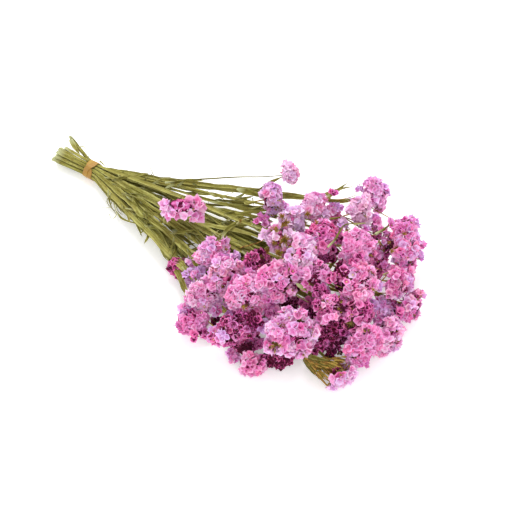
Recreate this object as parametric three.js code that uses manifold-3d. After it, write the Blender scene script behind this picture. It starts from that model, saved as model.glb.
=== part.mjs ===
// A tied bunch of dried statice (Limonium sinuatum), lying on a table.
// Millimetres. +X runs from the cut ends to the flowers, +Y sideways, +Z up from the table.
// The origin is under the middle of the bunch, on the table.
import * as THREE from "three";
import { mergeVertices } from "three/addons/utils/BufferGeometryUtils.js";
import Module from "manifold-3d";

const wasm = await Module();
wasm.setup();

// Stalks. At the tie they lie in rows of 3, 4, 5, 4 and 3, as round things pack.
const stalkRadius = 2.25;
const stalkPitch = 4.8;
const branchRadius = 1.5;
const tipRadius = 1.25;
const gap = 0.3;
const shaftStep = 40;
const branchSteps = 4;

// The rubber band, and the straight run of stalk that it grips.
const bandWidth = 10;
const bandThickness = 1.4;
const gripLength = 16;
const rowHeight = stalkPitch * Math.sqrt(0.75);
const tieHeight = 2 * rowHeight + stalkRadius + gap + bandThickness;
const cutEndFlare = 1.22;

// A stalk runs straight into its head for a small share of its length. A branch leaves the stalk this far
// before its own head, at first along the stalk and at last along the head's axis.
const straightShare = 0.035;
const branchReach = 30;
const branchReachShare = 0.3;
const branchLeave = 0.35;
const branchArrive = 0.3;
const firstBranch = 0.05;
const lastBranch = 0.93;

// A flower head is a cone of bracts under a cushion of papery calyces.
const coneLength = 8;
const cushionShare = 1.2;
const centreShare = 0.68;
const headSides = 11;
const lobeDepth = 0.09;

// The block that cuts what lies beyond a plane. Its middle stands over the flowers for the table's plane.
const blockSize = 600;
const tableMiddle = 250;

// Heads above the level height look up, heads below it look down, and all turn out to the side.
const levelHeight = 32;
const liftShare = 1.2;
const leastLift = -8;
const mostLift = 55;
const sideTurnShare = 1.6;

// Each stalk: its row and place at the tie, how far it runs behind the tie, and its heads, the end one first.
// A head: the middle of its cushion from the tie's foot, its radius, and where it differs from the rule,
// its lift above level and its turn to the side in degrees, and its flatness. A flare sets a cut end apart,
// and a bow moves the shaft sideways at the two places between the tie and the end head.
const stalks = [
  { row: 2, place: -1, cut: 53, heads: [
    { at: [318, -98, 72], size: 27 },
    { at: [278, -84, 60], size: 25 }] },
  { row: 2, place: 0, cut: 56, heads: [
    { at: [368, -38, 76], size: 21 },
    { at: [342, -28, 92], size: 27 },
    { at: [302, -12, 78], size: 18, turn: 25 },
    { at: [166, -24, 62], size: 29, lift: 70, flat: 0.62, turn: -56 }] },
  { row: 2, place: 1, cut: 50, heads: [
    { at: [348, 14, 88], size: 25 },
    { at: [298, 26, 72], size: 20 }] },
  { row: 1, place: -1.5, cut: 55, heads: [
    { at: [323, -134, 43], size: 29 },
    { at: [262, -106, 44], size: 26, lift: 25 }] },
  { row: 1, place: -0.5, cut: 58, heads: [
    { at: [340, -70, 82], size: 26 }] },
  { row: 1, place: 0.5, cut: 52, heads: [
    { at: [418, -20, 80], size: 28 },
    { at: [388, 30, 78], size: 26 }] },
  { row: 1, place: 1.5, cut: 47, bow: [-5, -2], heads: [
    { at: [354, 95, 60], size: 25 },
    { at: [310, 64, 68], size: 21 },
    { at: [248, 60, 52], size: 22, turn: 30, lift: 20 }] },
  { row: 0, place: -2, cut: 59, bow: [7, 17], heads: [
    { at: [262, -135, 18], size: 25 },
    { at: [196, -78, 16], size: 12, turn: -50 }] },
  { row: 0, place: -1, cut: 57, heads: [
    { at: [386, -114, 64], size: 33, lift: 40 },
    { at: [294, -46, 58], size: 19 },
    { at: [235, -54, 50], size: 24, lift: 35 }] },
  { row: 0, place: 0, cut: 60, heads: [
    { at: [434, -48, 62], size: 22 },
    { at: [406, -66, 72], size: 21 }] },
  { row: 0, place: 1, cut: 51, heads: [
    { at: [425, 84, 57], size: 34, lift: 18 }] },
  { row: 0, place: 2, cut: 60, flare: 3.1, bow: [-8, -4], heads: [
    { at: [350, 144, 46], size: 27, lift: 20 },
    { at: [242, 112, 50], size: 15, lift: 30 }] },
  { row: -1, place: -1.5, cut: 54, heads: [
    { at: [378, -116, 19], size: 25 },
    { at: [354, -146, 15], size: 19, lift: 12 }] },
  { row: -1, place: -0.5, cut: 61, heads: [
    { at: [467, -26, 20], size: 26, lift: 4 },
    { at: [454, -66, 41], size: 23 }] },
  { row: -1, place: 0.5, cut: 55, heads: [
    { at: [467, 29, 17], size: 23, lift: 2 },
    { at: [447, 31, 47], size: 22 }] },
  { row: -1, place: 1.5, cut: 43, heads: [
    { at: [398, 68, 18], size: 24, lift: 4 },
    { at: [316, 90, 16], size: 22 }] },
  { row: -2, place: -1, cut: 57, heads: [
    { at: [446, -103, 20], size: 26, lift: 2 },
    { at: [412, -68, 29], size: 24 },
    { at: [320, -90, 17], size: 22 }] },
  { row: -2, place: 0, cut: 59, heads: [
    { at: [400, 2, 17], size: 23 }] },
  { row: -2, place: 1, cut: 53, heads: [
    { at: [372, 34, 16], size: 22 },
    { at: [300, 30, 16], size: 22 }] },
];

const degrees = Math.PI / 180;

// The closed solid that a geometry bounds, with the vertices that its faces share merged.
function solidOf(geometry) {
  const bare = geometry.index ? geometry.toNonIndexed() : geometry.clone();
  bare.deleteAttribute("normal");
  bare.deleteAttribute("uv");
  const merged = mergeVertices(bare, 1e-3);
  return new wasm.Manifold(new wasm.Mesh({
    numProp: 3,
    vertProperties: merged.attributes.position.array,
    triVerts: new Uint32Array(merged.index.array),
  }));
}

function geometryOf(solid) {
  const { numProp, numVert, vertProperties, triVerts } = solid.getMesh();
  const positions = new Float32Array(numVert * 3);
  for (let i = 0; i < numVert; i++) {
    positions.set(vertProperties.subarray(i * numProp, i * numProp + 3), i * 3);
  }
  const geometry = new THREE.BufferGeometry();
  geometry.setAttribute("position", new THREE.BufferAttribute(positions, 3));
  geometry.setIndex(new THREE.BufferAttribute(new Uint32Array(triVerts), 1));
  geometry.computeVertexNormals();
  return geometry;
}

// A six-sided stalk along a curve, which narrows evenly from one end to the other.
function taperedStalk(curve, steps, startRadius, endRadius) {
  const section = new THREE.Shape();
  for (let side = 0; side < 6; side++) {
    const angle = side * 60 * degrees;
    const [x, y] = [startRadius * Math.cos(angle), startRadius * Math.sin(angle)];
    if (side) section.lineTo(x, y);
    else section.moveTo(x, y);
  }
  const geometry = new THREE.ExtrudeGeometry(section, { steps, extrudePath: curve, bevelEnabled: false });
  const centres = curve.getSpacedPoints(steps);
  const position = geometry.attributes.position;
  const corner = new THREE.Vector3();
  for (let i = 0; i < position.count; i++) {
    corner.fromBufferAttribute(position, i);
    let nearest = 0;
    centres.forEach((centre, k) => {
      if (centre.distanceTo(corner) < centres[nearest].distanceTo(corner)) nearest = k;
    });
    const share = 1 + (endRadius / startRadius - 1) * (nearest / steps);
    corner.sub(centres[nearest]).multiplyScalar(share).add(centres[nearest]);
    position.setXYZ(i, corner.x, corner.y, corner.z);
  }
  return geometry;
}

// Where a head sits: its height, the way it looks, and the foot of its cone of bracts.
function seatHead(head) {
  const middle = new THREE.Vector3(...head.at);
  const height = coneLength + cushionShare * head.size;
  const rise = liftShare * (middle.z - levelHeight);
  const lift = (head.lift ?? THREE.MathUtils.clamp(rise, leastLift, mostLift)) * degrees;
  const turn = head.turn === undefined
    ? sideTurnShare * Math.atan2(middle.y, middle.x)
    : head.turn * degrees;
  const axis = new THREE.Vector3(
    Math.cos(lift) * Math.cos(turn),
    Math.cos(lift) * Math.sin(turn),
    Math.sin(lift),
  );
  const foot = middle.clone().addScaledVector(axis, -centreShare * height);
  return { ...head, middle, height, axis, foot };
}

// The cushion and cone as one lobed solid, with its foot at the origin and its axis along +Y, then seated.
function headGeometry(head, index) {
  const { size, height } = head;
  const profile = [
    [0, 0], [tipRadius, 0], [tipRadius * 1.2, 0.12 * height], [0.42 * size, 0.36 * height],
    [0.86 * size, 0.53 * height], [size, 0.7 * height], [0.82 * size, 0.88 * height],
    [0.42 * size, 0.97 * height], [0, height],
  ].map(([radius, along]) => new THREE.Vector2(radius, along));
  const geometry = new THREE.LatheGeometry(profile, headSides);
  const position = geometry.attributes.position;
  const lobes = 3 + (index % 3);
  for (let i = 0; i < position.count; i++) {
    const [x, y, z] = [position.getX(i), position.getY(i), position.getZ(i)];
    const onCushion = THREE.MathUtils.smoothstep(y, 0.2 * height, 0.55 * height);
    const lobe = 1 + lobeDepth * onCushion * Math.cos(lobes * Math.atan2(z, x) + index);
    const flat = 1 + ((head.flat ?? 0.86) - 1) * onCushion;
    position.setXYZ(i, x * lobe, y, z * lobe * flat);
  }
  const across = new THREE.Vector3().crossVectors(head.axis, new THREE.Vector3(0, 0, 1)).normalize();
  const through = new THREE.Vector3().crossVectors(across, head.axis);
  geometry.applyMatrix4(new THREE.Matrix4().makeBasis(across, head.axis, through).setPosition(head.foot));
  return geometry;
}

// The three runs of a stalk: the butt behind the tie, the straight run in its grip, and the long shaft
// out to its end head.
function stalkRuns(stalk, endHead) {
  const y = stalk.place * stalkPitch;
  const z = stalk.row * rowHeight;
  const flare = stalk.flare ?? cutEndFlare;
  const cutEnd = new THREE.Vector3(-stalk.cut, y * flare, tieHeight + z * cutEndFlare);
  const back = new THREE.Vector3(-gripLength / 2, y, tieHeight + z);
  const front = new THREE.Vector3(gripLength / 2, y, tieHeight + z);
  const stop = endHead.foot.clone().addScaledVector(endHead.axis, -gap);
  const approach = stop.clone().addScaledVector(endHead.axis, -straightShare * stop.distanceTo(front));
  const [nearTie, nearHead] = stalk.bow ?? [0, 0];
  const along = (share, sideways) => front.clone().lerp(approach, share).add(new THREE.Vector3(0, sideways, 0));
  return {
    butt: new THREE.LineCurve3(cutEnd, back),
    grip: new THREE.LineCurve3(back, front),
    shaft: new THREE.CatmullRomCurve3([front, along(0.3, nearTie), along(0.65, nearHead), approach, stop]),
  };
}

// A branch leaves the stalk some way before a side head and curves out to that head's foot.
function branchCurve(curve, head) {
  const stop = head.foot.clone().addScaledVector(head.axis, -gap);
  const reach = branchReach + branchReachShare * head.size;
  let share = firstBranch;
  while (share < lastBranch && curve.getPointAt(share).x < stop.x - reach) share += 0.01;
  const start = curve.getPointAt(share);
  const span = start.distanceTo(stop);
  return new THREE.CatmullRomCurve3([
    start,
    start.clone().addScaledVector(curve.getTangentAt(share), branchLeave * span),
    stop.clone().addScaledVector(head.axis, -branchArrive * span),
    stop,
  ]);
}

// A stalk and its branches as one solid, made thicker all round by the extra radius.
function stalkSolid({ runs, branches }, extra = 0) {
  const thick = stalkRadius + extra;
  const thin = tipRadius + extra;
  const shaftSteps = Math.round(runs.shaft.getLength() / shaftStep);
  let solid = solidOf(taperedStalk(runs.butt, 2, thick, thick))
    .add(solidOf(taperedStalk(runs.grip, 1, thick, thick)))
    .add(solidOf(taperedStalk(runs.shaft, shaftSteps, thick, thin)));
  for (const branch of branches) {
    solid = solid.add(solidOf(taperedStalk(branch, branchSteps, branchRadius + extra, thin)));
  }
  return solid;
}

// The band follows the six-cornered outline of the packed stalks.
function bandGeometry() {
  const outline = (path, radius) => {
    for (let corner = 0; corner < 6; corner++) {
      const angle = (corner * 60 + 90) * degrees;
      const [x, y] = [2 * stalkPitch * Math.cos(angle), 2 * stalkPitch * Math.sin(angle)];
      path.absarc(x, y, radius, angle - 30 * degrees, angle + 30 * degrees);
    }
    return path;
  };
  const inner = stalkRadius + gap;
  const ring = outline(new THREE.Shape(), inner + bandThickness);
  ring.holes.push(outline(new THREE.Path(), inner));
  return new THREE.ExtrudeGeometry(ring, { depth: bandWidth, bevelEnabled: false, curveSegments: 4 });
}

// Everything on one side of a plane, as a large block to cut with.
function blockBeyond(point, normal) {
  const block = new THREE.BoxGeometry(blockSize, blockSize, blockSize).translate(0, 0, blockSize / 2);
  const turn = new THREE.Quaternion().setFromUnitVectors(new THREE.Vector3(0, 0, 1), normal);
  return solidOf(block.applyQuaternion(turn).translate(point.x, point.y, point.z));
}

// Cushions that press on each other meet at a flat between them, with a small gap.
function pressTogether(sprays) {
  sprays.forEach((one, i) => sprays.slice(i + 1).forEach((other) => {
    const between = other.middle.clone().sub(one.middle);
    const distance = between.length();
    if (one.solid.intersect(other.solid).volume() === 0) return;
    const normal = between.normalize();
    const share = (distance + (one.size ** 2 - other.size ** 2) / distance) / 2;
    const meeting = one.middle.clone().addScaledVector(normal, share);
    const before = meeting.clone().addScaledVector(normal, -gap / 2);
    const after = meeting.clone().addScaledVector(normal, gap / 2);
    one.solid = one.solid.subtract(blockBeyond(before, normal));
    other.solid = other.solid.subtract(blockBeyond(after, normal.clone().negate()));
  }));
}

function nodeMesh(name, geometry, material) {
  const mesh = new THREE.Mesh(geometry, material);
  mesh.name = name;
  return mesh;
}

const stalkGreen = new THREE.MeshStandardMaterial({ color: 0x868a48, roughness: 0.85, metalness: 0 });
const calyxPink = new THREE.MeshStandardMaterial({ color: 0xdf86c4, roughness: 0.9, metalness: 0 });
const bandAmber = new THREE.MeshStandardMaterial({ color: 0xd08a3c, roughness: 0.6, metalness: 0 });

const bunch = new THREE.Group();
const twoDigits = (index) => String(index + 1).padStart(2, "0");
const sprays = [];
const stems = stalks.map((stalk, i) => {
  const heads = stalk.heads.map(seatHead);
  heads.forEach((head, k) => {
    head.name = `flower_head_${twoDigits(i)}${"abcd"[k]}`;
    head.solid = solidOf(headGeometry(head, sprays.length));
    sprays.push(head);
  });
  const runs = stalkRuns(stalk, heads[0]);
  const branches = heads.slice(1).map((head) => branchCurve(runs.shaft, head));
  return { name: `stem_${twoDigits(i)}`, runs, branches };
});

// The cushions lie flat on the table, give way round the stalks that pass them, and press on each other.
const table = blockBeyond(new THREE.Vector3(tableMiddle, 0, 0), new THREE.Vector3(0, 0, -1));
const passages = stems.map((stem) => stalkSolid(stem, gap)).reduce((all, one) => all.add(one));
for (const spray of sprays) {
  spray.solid = spray.solid.subtract(table).subtract(passages);
}
pressTogether(sprays);

for (const stem of stems) {
  bunch.add(nodeMesh(stem.name, geometryOf(stalkSolid(stem)), stalkGreen));
}
for (const spray of sprays) {
  bunch.add(nodeMesh(spray.name, geometryOf(spray.solid), calyxPink));
}
const band = nodeMesh("rubber_band", bandGeometry(), bandAmber);
band.rotation.y = Math.PI / 2;
band.position.set(-bandWidth / 2, 0, tieHeight);
bunch.add(band);

const extent = new THREE.Box3().setFromObject(bunch, true);
const middle = extent.getCenter(new THREE.Vector3());
bunch.position.set(-middle.x, -middle.y, -extent.min.z);

export default bunch;
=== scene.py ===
# A tied bunch of dried statice lying on a table. Metres in the scene, millimetres in the tables.
import math
import random
import time
from itertools import combinations, product

import bpy
from mathutils import Matrix, Vector, noise
from mathutils.bvhtree import BVHTree


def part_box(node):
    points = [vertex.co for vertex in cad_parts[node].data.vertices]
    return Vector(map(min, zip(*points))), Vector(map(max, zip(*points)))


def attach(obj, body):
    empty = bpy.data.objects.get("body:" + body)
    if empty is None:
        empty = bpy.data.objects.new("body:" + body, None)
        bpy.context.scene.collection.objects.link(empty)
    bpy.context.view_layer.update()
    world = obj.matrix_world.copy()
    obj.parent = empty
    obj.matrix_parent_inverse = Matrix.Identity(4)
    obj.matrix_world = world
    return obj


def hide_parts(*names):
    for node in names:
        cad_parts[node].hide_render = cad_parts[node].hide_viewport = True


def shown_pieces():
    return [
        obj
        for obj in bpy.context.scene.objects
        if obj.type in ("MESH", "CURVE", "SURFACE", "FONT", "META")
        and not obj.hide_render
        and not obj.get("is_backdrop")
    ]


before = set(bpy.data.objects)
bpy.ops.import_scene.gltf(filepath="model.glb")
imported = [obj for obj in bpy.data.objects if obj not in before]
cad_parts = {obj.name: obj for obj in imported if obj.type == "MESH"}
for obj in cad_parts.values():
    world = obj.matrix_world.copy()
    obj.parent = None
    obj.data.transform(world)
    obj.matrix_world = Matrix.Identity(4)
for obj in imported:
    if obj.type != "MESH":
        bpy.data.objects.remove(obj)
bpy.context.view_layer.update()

started = time.time()
mm = 0.001
up = Vector((0, 0, 1))


def say(text):
    print(f"[{time.time() - started:5.1f} s] {text}")


# Where the stalks and heads are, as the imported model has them.
bunch = {
    "pitch": 4.8, "stalkRadius": 2.25, "gap": 0.3, "bandThickness": 1.4, "gripLength": 16, "cutEndFlare": 1.22,
    "straightShare": 0.035, "branchReach": 30, "branchReachShare": 0.3, "leave": 0.35, "arrive": 0.3,
    "coneLength": 8, "cushionShare": 1.2, "centreShare": 0.68, "tipRadius": 1.25, "lobeDepth": 0.09,
    "levelHeight": 32, "liftShare": 1.2, "leastLift": -8, "mostLift": 55, "sideTurnShare": 1.6, "stalkStep": 6,
    "buttSteps": 8, "bowNearTie": 0.3, "bowNearHead": 0.65, "lastFork": 0.93,
}
bunch["rowHeight"] = bunch["pitch"] * math.sqrt(0.75)
bunch["tieHeight"] = 2 * bunch["rowHeight"] + bunch["stalkRadius"] + bunch["gap"] + bunch["bandThickness"]


# What a stalk and a head are like when the table says nothing else. A lift or turn of None follows the place.
anyStalk = {"flare": bunch["cutEndFlare"], "bow": (0, 0), "slim": 1}
anyHead = {"full": 1.0, "flat": 0.86, "heart": 0.6, "cupSize": 1.0, "nearest": 3.45, "loose": 1.0, "lilac": 0.0,
           "tufts": 0, "fan": 0, "brush": False, "alone": False, "hand": None, "lift": None, "turn": None}


def headAt(at, size, tone, **more):
    return {**anyHead, "at": at, "size": size, "tone": tone, **more}


def tied(row, place, cut, heads, **more):
    return {**anyStalk, "row": row, "place": place, "cut": cut, "heads": heads, **more}


# Each stalk: its row and place in the tie, how far it runs behind it, and its heads, the end one first.
# A head: the middle of its cushion from the tie's foot, its radius, and its tone from pale 0 to deep 1.
# Some deep tones, on low heads lying among the others, are partly the heads' own colour and partly painted shade.
stalks = [
    tied(2, -1, 53, [headAt((318, -98, 72), 27, 0.5), headAt((278, -84, 60), 25, 0.32)]),
    tied(2, 0, 56, [headAt((368, -38, 76), 21, 0.52), headAt((342, -28, 92), 27, 0.15),
        headAt((302, -12, 78), 18, 0.3, turn=25, brush=True),
        headAt((166, -24, 62), 29, 0.27, lift=70, flat=0.62, turn=-56, lilac=0.05, cupSize=1.3, nearest=6,
             loose=0.4, hand=[(22, 0, 8), (12, -11, 6), (1, -3, 10), (-11, 5, 10), (-26, 2, 8), (-18, -12, 6),
             (-4, -14, 5)])]),
    tied(2, 1, 50, [headAt((348, 14, 88), 25, 0.66), headAt((298, 26, 72), 20, 0.0, tufts=3)]),
    tied(1, -1.5, 55, [headAt((323, -134, 43), 29, 0.78, full=0.9),
        headAt((262, -106, 44), 26, 0.36, full=0.87, lift=25)]),
    tied(1, -0.5, 58, [headAt((340, -70, 82), 26, 0.58)]),
    tied(1, 0.5, 52, [headAt((418, -20, 80), 28, 0.46), headAt((388, 30, 78), 26, 0.5)]),
    tied(1, 1.5, 47, [headAt((354, 95, 60), 25, 0.08, full=0.76), headAt((310, 64, 68), 21, 0.26),
        headAt((248, 60, 52), 22, 0.24, turn=30, lift=20, lilac=0.15, tufts=2, alone=True)], bow=(-5, -2), slim=0.5),
    tied(0, -2, 59, [headAt((262, -135, 18), 25, 0.55, full=0.75, lilac=0.1),
        headAt((196, -78, 16), 12, 0.95, turn=-50)], bow=(7, 17)),
    tied(0, -1, 57, [headAt((386, -114, 64), 33, 0.44, lift=40), headAt((294, -46, 58), 19, 0.8),
        headAt((235, -54, 50), 24, 0.48, full=0.86, lift=35)]),
    tied(0, 0, 60, [headAt((434, -48, 62), 22, 0.8), headAt((406, -66, 72), 21, 0.66)]),
    tied(0, 1, 51, [headAt((425, 84, 57), 34, 0.48, lift=18, tufts=2)], slim=0.6),
    tied(0, 2, 60, [headAt((350, 144, 46), 27, 0.36, full=0.8, lift=20, alone=True),
        headAt((242, 112, 50), 15, 0.22, lift=30, alone=True)], flare=3.1, bow=(-8, -4)),
    tied(-1, -1.5, 54, [headAt((378, -116, 19), 25, 1.0, full=0.85),
        headAt((354, -146, 15), 19, 0.54, full=0.86, lift=12)]),
    tied(-1, -0.5, 61, [headAt((467, -26, 20), 26, 0.3, full=0.9, lift=4), headAt((454, -66, 41), 23, 0.48)]),
    tied(-1, 0.5, 55, [headAt((467, 29, 17), 23, 0.5, full=0.9, lift=2), headAt((447, 31, 47), 22, 0.56)]),
    tied(-1, 1.5, 43, [headAt((398, 68, 18), 24, 0.72, lift=4), headAt((316, 90, 16), 22, 0.6)]),
    tied(-2, -1, 57, [headAt((446, -103, 20), 26, 0.3, full=0.87, lift=2, fan=230, apex=(397, -106, 17),
             heart=0.3), headAt((412, -68, 29), 24, 1.0), headAt((320, -90, 17), 22, 0.8)]),
    tied(-2, 0, 59, [headAt((400, 2, 17), 23, 0.8)]),
    tied(-2, 1, 53, [headAt((372, 34, 16), 22, 0.85), headAt((300, 30, 16), 22, 0.6)]),
]

bandLow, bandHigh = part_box("rubber_band")
tieFoot = Vector(((bandLow.x + bandHigh.x) / 2, (bandLow.y + bandHigh.y) / 2, bandLow.z))


def placed(point):  # from millimetres at the tie's foot to the scene
    return tieFoot + Vector(point) * mm


# A smooth curve through points that are far apart, spaced by the square roots of their distances.
def curvePoint(points, share):
    spans = len(points) - 1
    k = min(int(share * spans), spans - 1)
    t = share * spans - k
    p1, p2 = points[k], points[k + 1]
    p0 = points[k - 1] if k > 0 else p1 * 2 - p2
    p3 = points[k + 2] if k + 2 <= spans else p2 * 2 - p1
    d0, d1, d2 = (max((b - a).length, 1e-8) ** 0.5 for a, b in ((p0, p1), (p1, p2), (p2, p3)))
    m1 = ((p1 - p0) / d0 - (p2 - p0) / (d0 + d1) + (p2 - p1) / d1) * d1
    m2 = ((p2 - p1) / d1 - (p3 - p1) / (d1 + d2) + (p3 - p2) / d2) * d1
    c2 = p1 * -3 + p2 * 3 - m1 * 2 - m2
    c3 = p1 * 2 - p2 * 2 + m1 + m2
    return p1 + m1 * t + c2 * t * t + c3 * t ** 3


def evenly(points, step, samples=240):
    dense = [curvePoint(points, k / samples) for k in range(samples + 1)]
    reach = [0]
    for a, b in zip(dense, dense[1:]):
        reach.append(reach[-1] + (b - a).length)
    count = max(3, round(reach[-1] / step))
    found, k = [], 0
    for n in range(count + 1):
        goal = reach[-1] * n / count
        while k < samples - 1 and reach[k + 1] < goal:
            k += 1
        part = (goal - reach[k]) / max(reach[k + 1] - reach[k], 1e-12)
        found.append(dense[k].lerp(dense[k + 1], min(max(part, 0), 1)))
    return found


def seatHead(head):
    middle = Vector(head["at"])
    head["height"] = bunch["coneLength"] + bunch["cushionShare"] * head["size"]
    rise = min(max(bunch["liftShare"] * (middle.z - bunch["levelHeight"]), bunch["leastLift"]), bunch["mostLift"])
    lift = math.radians(rise if head["lift"] is None else head["lift"])
    turn = bunch["sideTurnShare"] * math.atan2(middle.y, middle.x)
    if head["turn"] is not None:
        turn = math.radians(head["turn"])
    head["axis"] = Vector((math.cos(lift) * math.cos(turn), math.cos(lift) * math.sin(turn), math.sin(lift)))
    head["foot"] = placed(middle - head["axis"] * (bunch["centreShare"] * head["height"]))
    head["across"] = head["axis"].cross(up).normalized()
    head["through"] = head["across"].cross(head["axis"])


def stalkLines(stalk):
    y, z = stalk["place"] * bunch["pitch"], stalk["row"] * bunch["rowHeight"]
    half, tall = bunch["gripLength"] / 2, bunch["tieHeight"]
    cutEnd = placed((-stalk["cut"], y * stalk["flare"], tall + z * bunch["cutEndFlare"]))
    back, front = placed((-half, y, tall + z)), placed((half, y, tall + z))
    end = stalk["heads"][0]
    stop = end["foot"] - end["axis"] * (bunch["gap"] * mm)
    approach = stop - end["axis"] * (bunch["straightShare"] * (stop - front).length)
    bows = [front.lerp(approach, share) + Vector((0, sideways * mm, 0)) for share, sideways in
            zip((bunch["bowNearTie"], bunch["bowNearHead"]), stalk["bow"])]
    shaftLine = evenly([front, *bows, approach, stop], bunch["stalkStep"] * mm)
    branches = []
    for head in stalk["heads"][1:]:
        tip = head["foot"] - head["axis"] * (bunch["gap"] * mm)
        reach = (bunch["branchReach"] + bunch["branchReachShare"] * head["size"]) * mm
        near = len(shaftLine) // 20
        while near < bunch["lastFork"] * len(shaftLine) and shaftLine[near].x < tip.x - reach:
            near += 1
        start, ahead = shaftLine[near], (shaftLine[near + 1] - shaftLine[near]).normalized()
        span = (tip - start).length
        branches.append([start, start + ahead * (bunch["leave"] * span),
                         tip - head["axis"] * (bunch["arrive"] * span), tip])
    butt = [cutEnd.lerp(back, k / bunch["buttSteps"]) for k in range(bunch["buttSteps"])]
    return butt + [back, (back + front) / 2] + shaftLine, branches


def onlySelect(*pieces):
    bpy.ops.object.select_all(action="DESELECT")
    for piece in pieces:
        piece.select_set(True)
    bpy.context.view_layer.objects.active = pieces[0]


def joined(name, parts):
    onlySelect(*parts)
    if len(parts) > 1:
        bpy.ops.object.join()
    whole = bpy.context.object
    whole.name = whole.data.name = name
    return whole


def keep(piece, material, slotName, *nodes):
    if material:
        piece.data.materials.clear()
        piece.data.materials.append(material)
    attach(piece, "root")
    if nodes:
        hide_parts(*nodes)
    return piece


def linked(name, data):
    piece = bpy.data.objects.new(name, data)
    bpy.context.collection.objects.link(piece)
    return piece


def polyCurve(name, dimensions, count, closed):
    curve = bpy.data.curves.new(name, "CURVE")
    curve.dimensions = dimensions
    spline = curve.splines.new("POLY")
    spline.points.add(count - 1)
    spline.use_cyclic_u = closed
    return curve, spline.points


def sectionCurve(name, outline):
    flat, points = polyCurve(name, "2D", len(outline), True)
    for point, (x, y) in zip(points, outline):
        point.co = (x, y, 0, 1)
    return linked(name, flat)


# Sweeps a section along a route. Radii are millimetres and tilts radians, one for each point of the route.
# The map keeps centimetres along and turns around.
def swept(name, route, radii, tilts, section, closed=False):
    path, points = polyCurve(name, "3D", len(route), closed)
    for point, place, radius, tilt in zip(points, route, radii, tilts):
        point.co, point.radius, point.tilt = (*place, 1), radius * mm, tilt
    path.twist_mode, path.bevel_mode, path.bevel_object, path.use_fill_caps = "Z_UP", "OBJECT", section, not closed
    piece = linked(name, path)
    onlySelect(piece)
    bpy.ops.object.convert(target="MESH")
    bpy.ops.object.mode_set(mode="EDIT")
    bpy.ops.mesh.select_all(action="SELECT")
    bpy.ops.mesh.remove_doubles(threshold=2e-6)
    bpy.ops.mesh.normals_make_consistent(inside=False)
    bpy.ops.object.mode_set(mode="OBJECT")
    mesh, length = piece.data, sum((b - a).length for a, b in zip(route, route[1:]))
    layer = mesh.uv_layers[0]
    layer.name = "strip"
    for face in mesh.polygons:
        capped = len(face.vertices) == 3
        for loop in face.loop_indices:
            along, around = layer.uv[loop].vector
            share = along
            if capped:
                place = mesh.vertices[mesh.loops[loop].vertex_index].co
                share = 0 if (place - route[0]).length < (place - route[-1]).length else 1
            layer.uv[loop].vector = (share * length * 100, along if capped else around)
    return piece


def smooth(piece, angle):
    onlySelect(piece)
    bpy.ops.object.shade_smooth_by_angle(angle=math.radians(angle))


# Colours in the tables are as a screen shows them, from 0 to 255.
def linear(red, green, blue):
    return tuple(c / 12.92 if c <= 0.04045 else ((c + 0.055) / 1.055) ** 2.4
                 for c in (red / 255, green / 255, blue / 255)) + (1,)


def linearLook(look):
    return {name: linear(*colour) for name, colour in look.items()}


class Web:  # a node tree, with short ways to add and link
    def __init__(self, tree):
        self.tree = tree

    def add(self, kind, values=None, **settings):
        node = self.tree.nodes.new("ShaderNode" + kind)
        for name, value in settings.items():
            setattr(node, name, value)
        for socket, value in (values or {}).items():
            if isinstance(value, bpy.types.NodeSocket):
                self.tree.links.new(value, node.inputs[socket])
            else:
                node.inputs[socket].default_value = value
        return node

    def maths(self, operation, a, b=0.0, clamp=False):
        return self.add("Math", {0: a, 1: b}, operation=operation, use_clamp=clamp).outputs[0]

    def times(self, a, b):
        return self.maths("MULTIPLY", a, b)

    def total(self, value, *shares, offset=0.0, clamp=False):  # a value, shares of others and an offset
        for other, share in shares:
            value = self.maths("ADD", value, self.times(other, share))
        return self.maths("ADD", value, offset, clamp)

    def spread(self, value, low, high, to0=0.0, to1=1.0):
        return self.add("MapRange", {0: value, 1: low, 2: high, 3: to0, 4: to1}).outputs[0]

    def noise(self, place, scale=1.0, detail=2.0, roughness=0.5):
        return self.add("TexNoise", {"Vector": place, "Scale": scale, "Detail": detail,
                                     "Roughness": roughness}).outputs[0]

    def split(self, vector):
        return self.add("SeparateXYZ", {0: vector}).outputs

    def vector(self, x, y, z=0.0):
        return self.add("CombineXYZ", {0: x, 1: y, 2: z}).outputs[0]

    def bump(self, height, strength, distance):
        return self.add("Bump", {"Height": height, "Strength": strength, "Distance": distance}).outputs[0]

    def end(self, surface):
        self.tree.links.new(surface, self.add("OutputMaterial").inputs["Surface"])

    def blend(self, share, a, b, way="MIX"):
        return self.add("Mix", {0: share, 6: a, 7: b}, data_type="RGBA", blend_type=way).outputs[2]

    def ramp(self, value, *stops):
        node = self.add("ValToRGB", {0: value})
        elements = node.color_ramp.elements
        while len(elements) < len(stops):
            elements.new(0.5)
        for element, (place, colour) in zip(elements, stops):
            element.position, element.color = place, colour
        return node.outputs[0]

    def carried(self, name):  # a number that the object carries
        return self.add("Attribute", attribute_type="OBJECT", attribute_name=name).outputs["Fac"]

    def mapped(self, name):
        return self.add("UVMap", uv_map=name).outputs[0]

    def fibres(self, strands, fading):
        return self.add("Group", {"Strip": self.mapped("strip"), "Strands": strands, "Fading": fading},
                        node_tree=dryFibres).outputs

    def age(self, size):
        return self.add("Group", {"Place": self.add("TexCoord").outputs["Object"], "Size": size},
                        node_tree=ageMottle).outputs


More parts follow.
